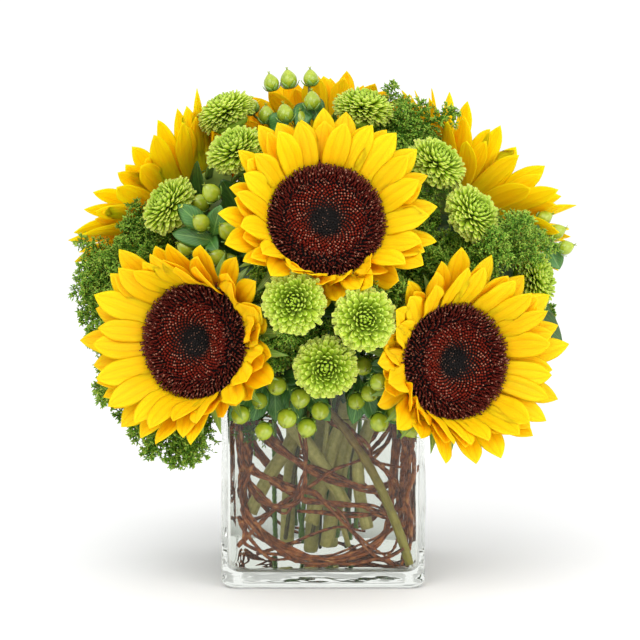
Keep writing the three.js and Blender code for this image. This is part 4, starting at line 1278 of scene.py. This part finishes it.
def bud_skin(skin, sprays, ahead, rng):
    """Small spindles along each spray, paler towards its tip."""
    place = rng.uniform(0.1, 1.0, (len(sprays), BUDS))
    at = np.concatenate([points_at(spray, share) for spray, share in zip(sprays, place)])
    way = unit(np.repeat(ahead, BUDS, axis=0) * 0.8 + random_units(rng, len(at)) * 0.9)
    paths = curve(3, at, at + way * rng.uniform(1.6, 3.6, (len(at), 1)))
    place = place.reshape(-1)
    tones = np.clip(rng.normal(0.42, 0.22, len(at)) + 0.3 * place**2, 0, 1)
    skin.add(tubes(paths, 0.56, 3)[:, 1:2], tone=tones, kind=place, poles=paths[:, ::2])


def leaning(way, degrees, turn):
    """A direction leaned over by some degrees, towards a side given by a turn about it."""
    side, other = two_sides(way)
    lean = math.radians(degrees)
    return way * math.cos(lean) + (side * math.cos(turn) + other * math.sin(turn)) * math.sin(lean)


def goldenrod_stalk(i):
    """The stalk of a spray, with its plumes slimmed to their cores, and the plumes' axes."""
    bm = solid_of(f"goldenrod_{i + 1}", thin=0.3)
    axes = plume_axes(bm)
    for root, tip in axes:
        slim_plume(bm, root, tip)
    return rounded(bm, f"goldenrod_{i + 1}_stalk", voxel=0.8, keep=0.3), axes


def goldenrod(i, stem, axes, room):
    rng = np.random.default_rng(400 + i)
    skin = Skin()
    for root, tip in axes:
        plume_skin(skin, root, tip, PLUME_RADIUS, rng, room, own=True)
        length = np.linalg.norm(tip - root)
        for k in range(SIDE_PLUMES):
            start = root + (tip - root) * rng.uniform(0.02, 0.5)
            way = leaning(unit(tip - root), rng.uniform(28, 52), k * GOLDEN_TURN + rng.uniform(-0.5, 0.5))
            end = start + way * length * rng.uniform(0.45, 0.7)
            if in_box(end):
                plume_skin(skin, start, end, PLUME_RADIUS * 0.8, rng, room)
    points, normals = surface_of(stem)
    upper = np.flatnonzero(points[:, 2] > SPROUT_LOW)
    made = 0
    for _ in range(SPROUT_TRIES):
        k = rng.choice(upper)
        root = points[k]
        way = unit(unit(root - HEART) + normals[k] * 0.7 + random_units(rng, 1)[0] * 0.5)
        end = root + way * rng.uniform(26, 42)
        probes = [root + way * 12, (root + end) / 2, end]
        if made < STEM_PLUMES and in_box(end) and room.has(probes, 2.5):
            plume_skin(skin, root - normals[k] * 0.5, end, PLUME_RADIUS * 0.8, rng, room)
            made += 1
    return skin


def loose_plumes(stalks, skins, room):
    """The single plumes that fill the gaps of the bouquet. Each grows from the nearest stalk on a twig."""
    trees = [search_tree(stem) for stem in stalks]
    for k, tip in enumerate(LOOSE_PLUMES):
        rng = np.random.default_rng(450 + k)
        tip = np.array(tip, float)
        way = unit(tip - HEART)
        root = tip - way * LOOSE_LENGTH
        for _ in range(12):
            if room.has([root, (root + tip) / 2, tip - way * 4], 1.2):
                break
            lean = unit(way + random_units(rng, 1)[0] * 0.45)
            root = tip - lean * LOOSE_LENGTH * rng.uniform(0.7, 1)
        ends = [nearest_on(tree, root) for tree in trees]
        nearest = int(np.argmin([np.linalg.norm(end - root) for end in ends]))
        start = ends[nearest]
        bow = (start + root) / 2 + UP * 2
        twig = curve(8, start, bow, root - (tip - root) * 0.15, root + (tip - root) * 0.05)
        skins[nearest].add(tubes(twig, np.linspace(1.0, 0.8, 8), 5), tone=0.2, kind=0)
        plume_skin(skins[nearest], root, tip, PLUME_RADIUS * 0.9, rng, room)


# ---------- leaves ----------
def leaf_outline(kind, share):
    """Half of a leaf's width at shares of its length, about 1 at the widest. It starts as a thin stalk."""
    cut, teeth, stalk = LEAF_KINDS[kind][3:]
    t = np.clip((share - stalk) / (1 - stalk), 0, 1)
    if kind == "heart":
        body = np.minimum(t / 0.12, 1) ** 0.6 * (1 - t) ** 0.8 * (1 + 0.9 * t)
    elif kind == "lance":
        body = np.sin(np.pi * t**0.8) ** 0.9
    else:
        body = np.sin(np.pi * t**0.85) ** 0.7
    return 0.05 + body * (1 - cut + cut * np.abs(np.cos(np.pi * teeth * t)))


def leaf_rings(kind, root, tip, face, width, rng):
    """A folded, gently waved leaf that arches between its ends."""
    rows, columns = LEAF_KINDS[kind][1:3]
    length = np.linalg.norm(tip - root)
    face = unit(face - unit(tip - root) * (face @ unit(tip - root)))
    path = curve(rows, root, root + (tip - root) * 0.45 + face * length * rng.uniform(0.12, 0.3), tip)
    share = np.linspace(0, 1, rows)
    across = np.linspace(-1, 1, columns)
    half = width / 2 * leaf_outline(kind, share)
    fold = rng.uniform(0.15, 0.35) * half[:, None] * np.abs(across)
    turns = rng.uniform(1.2, 2.4) * share[:, None] + rng.uniform()
    wave = 0.1 * half[:, None] * np.sin(TURN * turns) * across**2
    net = 0.18 * np.cos(TURN * (9 * share[:, None] - 3.5 * np.abs(across))) * (1 - across**2)
    return blades(path, face, half[None], (fold + wave + net)[None], 0.6)


def surface_of(mesh):
    """The points of a mesh and the directions that it faces there."""
    normals = np.zeros(len(mesh.vertices) * 3)
    mesh.vertex_normals.foreach_get("vector", normals)
    return points_of(mesh), normals.reshape(-1, 3)


def search_tree(mesh):
    return BVHTree.FromPolygons([v.co for v in mesh.vertices], [p.vertices for p in mesh.polygons])


def nearest_on(tree, point):
    return np.array(tree.find_nearest(Vector(point) * MM)[0]) / MM


def foliage(node, stem, room, rng):
    """The leaves on the upper part of a stem, each where there is room for it."""
    count, kind, shortest, longest, look, slot = FOLIAGE[node.split("_")[0]]
    points, normals = surface_of(stem)
    upper = np.flatnonzero(points[:, 2] > SPROUT_LOW)
    tree = search_tree(stem)
    skin = Skin()
    wide = LEAF_KINDS[kind][0]
    for root, tip, width, face in LARGE_LEAVES.get(node, ()):
        face = unit(np.array(face, float))
        rings, across = leaf_rings(kind, nearest_on(tree, root), np.array(tip, float), face, width, rng)
        skin.add(rings, across=across, tone=rng.uniform(0, 1))
        room.claim(rings[0, 4::3, ::3])
    made = 0
    for _ in range(count * LEAF_TRIES):
        k = rng.choice(upper)
        outwards = unit(points[k] - HEART)
        way = unit(normals[k] * 0.8 + outwards * rng.uniform(0.1, 1.1) + random_units(rng, 1)[0] * 0.6)
        length = rng.uniform(shortest, longest)
        root = points[k] - normals[k] * 0.4
        tip = root + way * length
        face = unit(outwards + UP * 0.5 + random_units(rng, 1)[0] * 0.4)
        rings, across = leaf_rings(kind, root, tip, face, length * wide * rng.uniform(0.85, 1.1), rng)
        body = rings[0, len(rings[0]) // 4 :: 3, ::3]
        near = np.linalg.norm(tip - HEART) < LEAF_REACH
        if made < count and near and room.has(body, gap=0.5, crowd=0.25):
            skin.add(rings, across=across, tone=rng.uniform(0, 1))
            room.claim(body)
            made += 1
    if skin.count:
        show(skin, f"{node}_leaves", look, slot, node)


# ---------- willow ----------
def square_reach(half, angle):
    """The distance from the vase's axis to a rounded square, at an angle."""
    power = 5
    return half / (np.abs(np.cos(angle)) ** power + np.abs(np.sin(angle)) ** power) ** (1 / power)


def smooth_through(knots, rows):
    """Points of a smooth curve through the knots."""
    knots = np.array(knots, float)
    ends = np.vstack([2 * knots[0] - knots[1], knots, 2 * knots[-1] - knots[-2]])
    at = np.linspace(0, len(knots) - 1 - 1e-6, rows)
    first = at.astype(int)
    t = (at - first)[:, None]
    a, b, c, d = (ends[first + k] for k in range(4))
    return b + 0.5 * t * (c - a + t * (2 * a - 5 * b + 4 * c - d + t * (3 * (b - c) + d - a)))


def strand(layer, route, drift, swing):
    """A twig's path on its layer, swinging beside the strand's own route."""
    turns = smooth_through(route, WILLOW_ROWS)
    angle = np.radians(turns[:, 0] + drift)
    height = np.clip(turns[:, 1] + swing, VASE_FLOOR + 4, TWIG_TOP)
    reach = square_reach(layer, angle)
    return np.stack([np.cos(angle) * reach, np.sin(angle) * reach, height], -1)


def willow():
    share = np.linspace(0, 1, WILLOW_ROWS)
    for i, (layer, route) in enumerate(STRANDS):
        rng = np.random.default_rng(500 + i)
        skin = Skin()
        for k, (loose, slim) in enumerate(STRAND_TWIGS):
            phase = rng.uniform(0, TURN)
            swing = loose * np.sin(TURN * share * rng.uniform(1.5, 3.5) + phase)
            drift = loose * 0.7 * np.cos(TURN * share * rng.uniform(1.5, 3.5) + phase)
            depth = layer + 1.3 * np.sin(TURN * 2 * share + phase + k)
            path = strand(depth, route, drift, swing)
            path += rng.normal(0, 0.12, path.shape)
            thick = TWIG_RADIUS * rng.uniform(0.75, 1.2) * slim
            radii = thick * (1 + 0.12 * rng.normal(size=WILLOW_ROWS)) * np.linspace(1.1, 0.7, WILLOW_ROWS)
            skin.rod(path, radii, TWIG_SIDES, rng.uniform(0, 1))
        show(skin, f"willow_twigs_{i + 1}", "bark", "willow", f"willow_{i + 1}")
    for i, row in enumerate(LOOSE_TWIGS):
        loose_twigs(f"willow_loose_{i + 1}", *row, np.random.default_rng(520 + i))
    rng = np.random.default_rng(550)
    radii = CANE_RADIUS * (1 + 0.04 * rng.normal(size=WILLOW_ROWS)) * np.linspace(0.95, 1.05, WILLOW_ROWS)
    show(Skin().rod(curve(WILLOW_ROWS, *CANE), radii, 12), "willow_cane", "cane", "willow", "willow_6")


def loose_twigs(name, count, radius, depth, quarter, route, rng):
    """Twigs that run together along a route near one side of the glass."""
    rows = 12 * len(route)
    share = np.linspace(0, 1, rows)
    middle = smooth_through(route, rows)
    c, s = math.cos(quarter * TURN / 4), math.sin(quarter * TURN / 4)
    skin = Skin()
    for k in range(count):
        phase = TURN * k / count + rng.uniform(-0.6, 0.6)
        turns = TURN * share * rng.uniform(1.0, 2.2) + phase
        apart = radius * (1.15 if count > 1 else 0.3) * (1 + 0.5 * np.sin(TURN * share * 1.7 + phase))
        beside = np.clip(middle[:, 0] + apart * np.cos(turns), -INSIDE + radius, INSIDE - radius)
        inwards = np.clip(depth + apart * np.sin(turns), LEAST_DEPTH, INSIDE - radius)
        height = np.maximum(middle[:, 1] + apart * np.cos(turns) * 0.7, VASE_FLOOR + radius)
        path = np.stack([beside, -inwards, height], -1) + smooth_noise(rng, rows, 0.7)
        path = path @ np.array([[c, s, 0], [-s, c, 0], [0, 0, 1]])
        knots = 1 + 0.1 * rng.normal(size=rows) + 0.25 * (rng.random(rows) > 0.95)
        radii = radius * rng.uniform(0.75, 1.1) * knots * np.linspace(1.1, 0.6, rows)
        skin.rod(path, radii, TWIG_SIDES, rng.uniform(0, 1))
    show(skin, name, "bark", "willow")


def loose_stems():
    """Stems on the front side of the vase, as far forward as the others leave room."""
    room = bouquet_room()
    skin = Skin()
    rows = 24
    for i, (radius, route) in enumerate(LOOSE_STEMS):
        rng = np.random.default_rng(560 + i)
        flat = smooth_through(route, rows)
        for depth in STEM_DEPTHS:
            path = np.stack([flat[:, 0], np.full(rows, -depth), flat[:, 1]], -1)
            if room.has(path, radius + 0.2):
                break
        radii = radius * (1 + 0.03 * rng.normal(size=rows))
        skin.rod(path, radii, 14, rng.uniform(0.2, 0.9))
        room = bouquet_room(more=[skin.mesh("stems so far")])
    show(skin, "loose_stems", "stems", "flower_green")


def smooth_noise(rng, rows, size):
    """A slow drift along a path, in three directions."""
    knots = rng.normal(0, size, (max(rows // 8, 4), 3))
    return smooth_through(knots, rows)


# ---------- vase and water ----------
def square_ring(half, corner, height, wave=0.0):
    """A rounded square of points, slightly uneven as pressed glass is."""
    inner = half - corner
    points = []
    for start in np.arange(4) * TURN / 4:
        middle = start + TURN / 8
        centre = inner * np.sign([math.cos(middle), math.sin(middle)])
        for angle in np.linspace(start, start + TURN / 4, 9):
            points.append(centre + corner * np.array([math.cos(angle), math.sin(angle)]))
        last = points[-1]
        side = np.array([-math.sin(start + TURN / 4), math.cos(start + TURN / 4)]) * 2 * inner
        points += [last + side * share for share in np.linspace(0, 1, 12)[1:-1]]
    flat = np.array(points)
    angle = np.arctan2(flat[:, 1], flat[:, 0])
    uneven = 1 + wave / half * (np.sin(3 * angle + height / 14) + 0.6 * np.sin(7 * angle - height / 9 + 1))
    return np.column_stack([flat * uneven[:, None], np.full(len(flat), height)])


def arc(start, end, count):
    """The cosines and sines of angles from one to another, in degrees."""
    return [(math.cos(turn), math.sin(turn)) for turn in np.radians(np.linspace(start, end, count))]


def vase():
    rings = [square_ring(44, 8, 0.9), square_ring(50, 8, 0.8), square_ring(53, 8, 0.05)]
    for c, s in arc(-90, 0, 7):
        half = VASE_HALF - VASE_EASE + VASE_EASE * c
        rings.append(square_ring(half, VASE_CORNER - 3 + 3 * c, VASE_EASE + VASE_EASE * s, 0.12))
    for height in np.linspace(VASE_EASE + 4, VASE_HEIGHT - 4, 18):
        rings.append(square_ring(VASE_HALF, VASE_CORNER, height, 0.3))
    for c, s in arc(0, 180, 9):
        half = VASE_HALF - VASE_WALL / 2 + VASE_WALL / 2 * c
        height = VASE_HEIGHT - VASE_LIP + VASE_LIP * s
        rings.append(square_ring(half, VASE_CORNER - 1.5 + 1.5 * c, height, 0.15))
    for height in np.linspace(VASE_HEIGHT - 8, VASE_FLOOR + 9, 16):
        rings.append(square_ring(INSIDE, VASE_CORNER - 3, height))
    for c, s in arc(0, 90, 7)[1:]:
        half = INSIDE - ROUND_IN + ROUND_IN * c
        rings.append(square_ring(half, VASE_CORNER - 4 + c, VASE_FLOOR + ROUND_IN - ROUND_IN * s))
    rings.append(square_ring(INSIDE * 0.5, 4, VASE_FLOOR))
    show(Skin().add(np.array(rings)[None]), "glass_cube", "glass", "glass", "vase")


def water():
    """The water, drawn up a little where it meets the glass."""
    half = INSIDE - FILM
    rings = []
    for c, s in arc(90, 0, 7):
        height = VASE_FLOOR + FILM + ROUND_IN - ROUND_IN * s
        rings.append(square_ring(half - ROUND_IN + ROUND_IN * c, 5 + c, height))
    for height in (30, 50, 70, 90, WATER_TOP - 1, WATER_TOP + 1.2):
        rings.append(square_ring(half, 6, height))
    for inset, rise in ((1.2, 1.0), (2.2, 0.3), (4.5, 0), (30, 0)):
        rings.append(square_ring(half - inset, 5, WATER_TOP + rise))
    show(Skin().add(np.array(rings)[None]), "water_body", "water", "water", "water")


# ---------- floor, light and camera ----------
def aim(thing, at, target):
    """Puts a lamp or the camera at a place, facing another."""
    thing.location = Vector(at) * MM
    thing.rotation_euler = (Vector(target) - Vector(at)).to_track_quat("-Z", "Y").to_euler()


def stage():
    mesh = bpy.data.meshes.new("floor")
    corners = [(x * FLOOR_HALF, y * FLOOR_HALF, 0) for x, y in ((-1, -1), (1, -1), (1, 1), (-1, 1))]
    mesh.from_pydata(corners, [], [(0, 1, 2, 3)])
    look = Look("pale floor", Roughness=0.9)
    shade = look.ramp(look.noise(look.place(), 3.0), (0.4, "f4f4f4"), (0.6, "f8f8f8"))
    mesh.materials.append(look.colour(shade))
    linked("floor", mesh)

    world = bpy.data.worlds.new("studio")
    world.use_nodes = True
    sky = world.node_tree.nodes["Background"].inputs
    sky["Color"].default_value = (1, 1, 1, 1)
    sky["Strength"].default_value = SKY
    bpy.context.scene.world = world

    for name, (at, power) in LAMPS.items():
        lamp = bpy.data.lights.new(name, "AREA")
        lamp.shape = "DISK"
        lamp.size = LAMP_SIZE
        lamp.energy = power
        aim(linked(name, lamp), at, HEART)

    camera = linked("camera", bpy.data.cameras.new("camera"))
    camera.data.lens = CAMERA_LENS
    camera.data.sensor_width = 36.0
    camera.data.clip_end = 50
    aim(camera, CAMERA_AT, CAMERA_LOOKS_AT)
    bpy.context.scene.camera = camera
    bpy.context.scene.view_settings.view_transform = "Standard"
    paths = bpy.context.scene.cycles
    paths.max_bounces = 32
    paths.glossy_bounces = 24
    paths.transmission_bounces = 32


stage()
vase()
water()
willow()
loose_stems()
stalks = [goldenrod_stalk(i) for i in range(PLUME_SPRAYS)]
slim = {f"goldenrod_{i + 1}": stem for i, (stem, _) in enumerate(stalks)}
stems = {}
for i in range(len(SUNFLOWERS)):
    stems[f"sunflower_{i + 1}_stem"] = sunflower(i, slim)
for node, stem in slim.items():
    show(stem, f"{node}_stalk", "sprigs", "goldenrod", node)
for i in range(len(MUM_SPRAYS)):
    stems[f"chrysanthemum_{i + 1}"] = chrysanthemum(i)
for i in range(len(BERRY_SPRAYS)):
    stems[f"hypericum_{i + 1}"] = hypericum(i)
stems |= slim

# The plumes and the leaves fill the room that is left, so they come last.
heads = [(*tip, MUM_RADIUS + 1) for spray in MUM_SPRAYS for tip in spray]
berries = [(*tip, BERRY_RADIUS + 1) for spray in BERRY_SPRAYS + SMALL_SPRAYS for tip in spray]
made = ("_rays", "_bracts", "_florets", "_stalk")
solid = [piece.data for piece in bpy.data.objects if piece.name.endswith(made)]
solid.append(frame["nodes"]["vase"].data)
cups = [(np.array(plan["at"], float), head_turn(plan["face"])) for plan in SUNFLOWERS]
room = Room(solid, heads + berries, cups)
plumes = [goldenrod(i, *stalk, room) for i, stalk in enumerate(stalks)]
loose_plumes(slim.values(), plumes, room)
for node, skin in zip(slim, plumes):
    show(skin, f"{node}_plumes", "plumes", "goldenrod", node)
for i, (node, stem) in enumerate(stems.items()):
    foliage(node, stem, room, np.random.default_rng(600 + i))
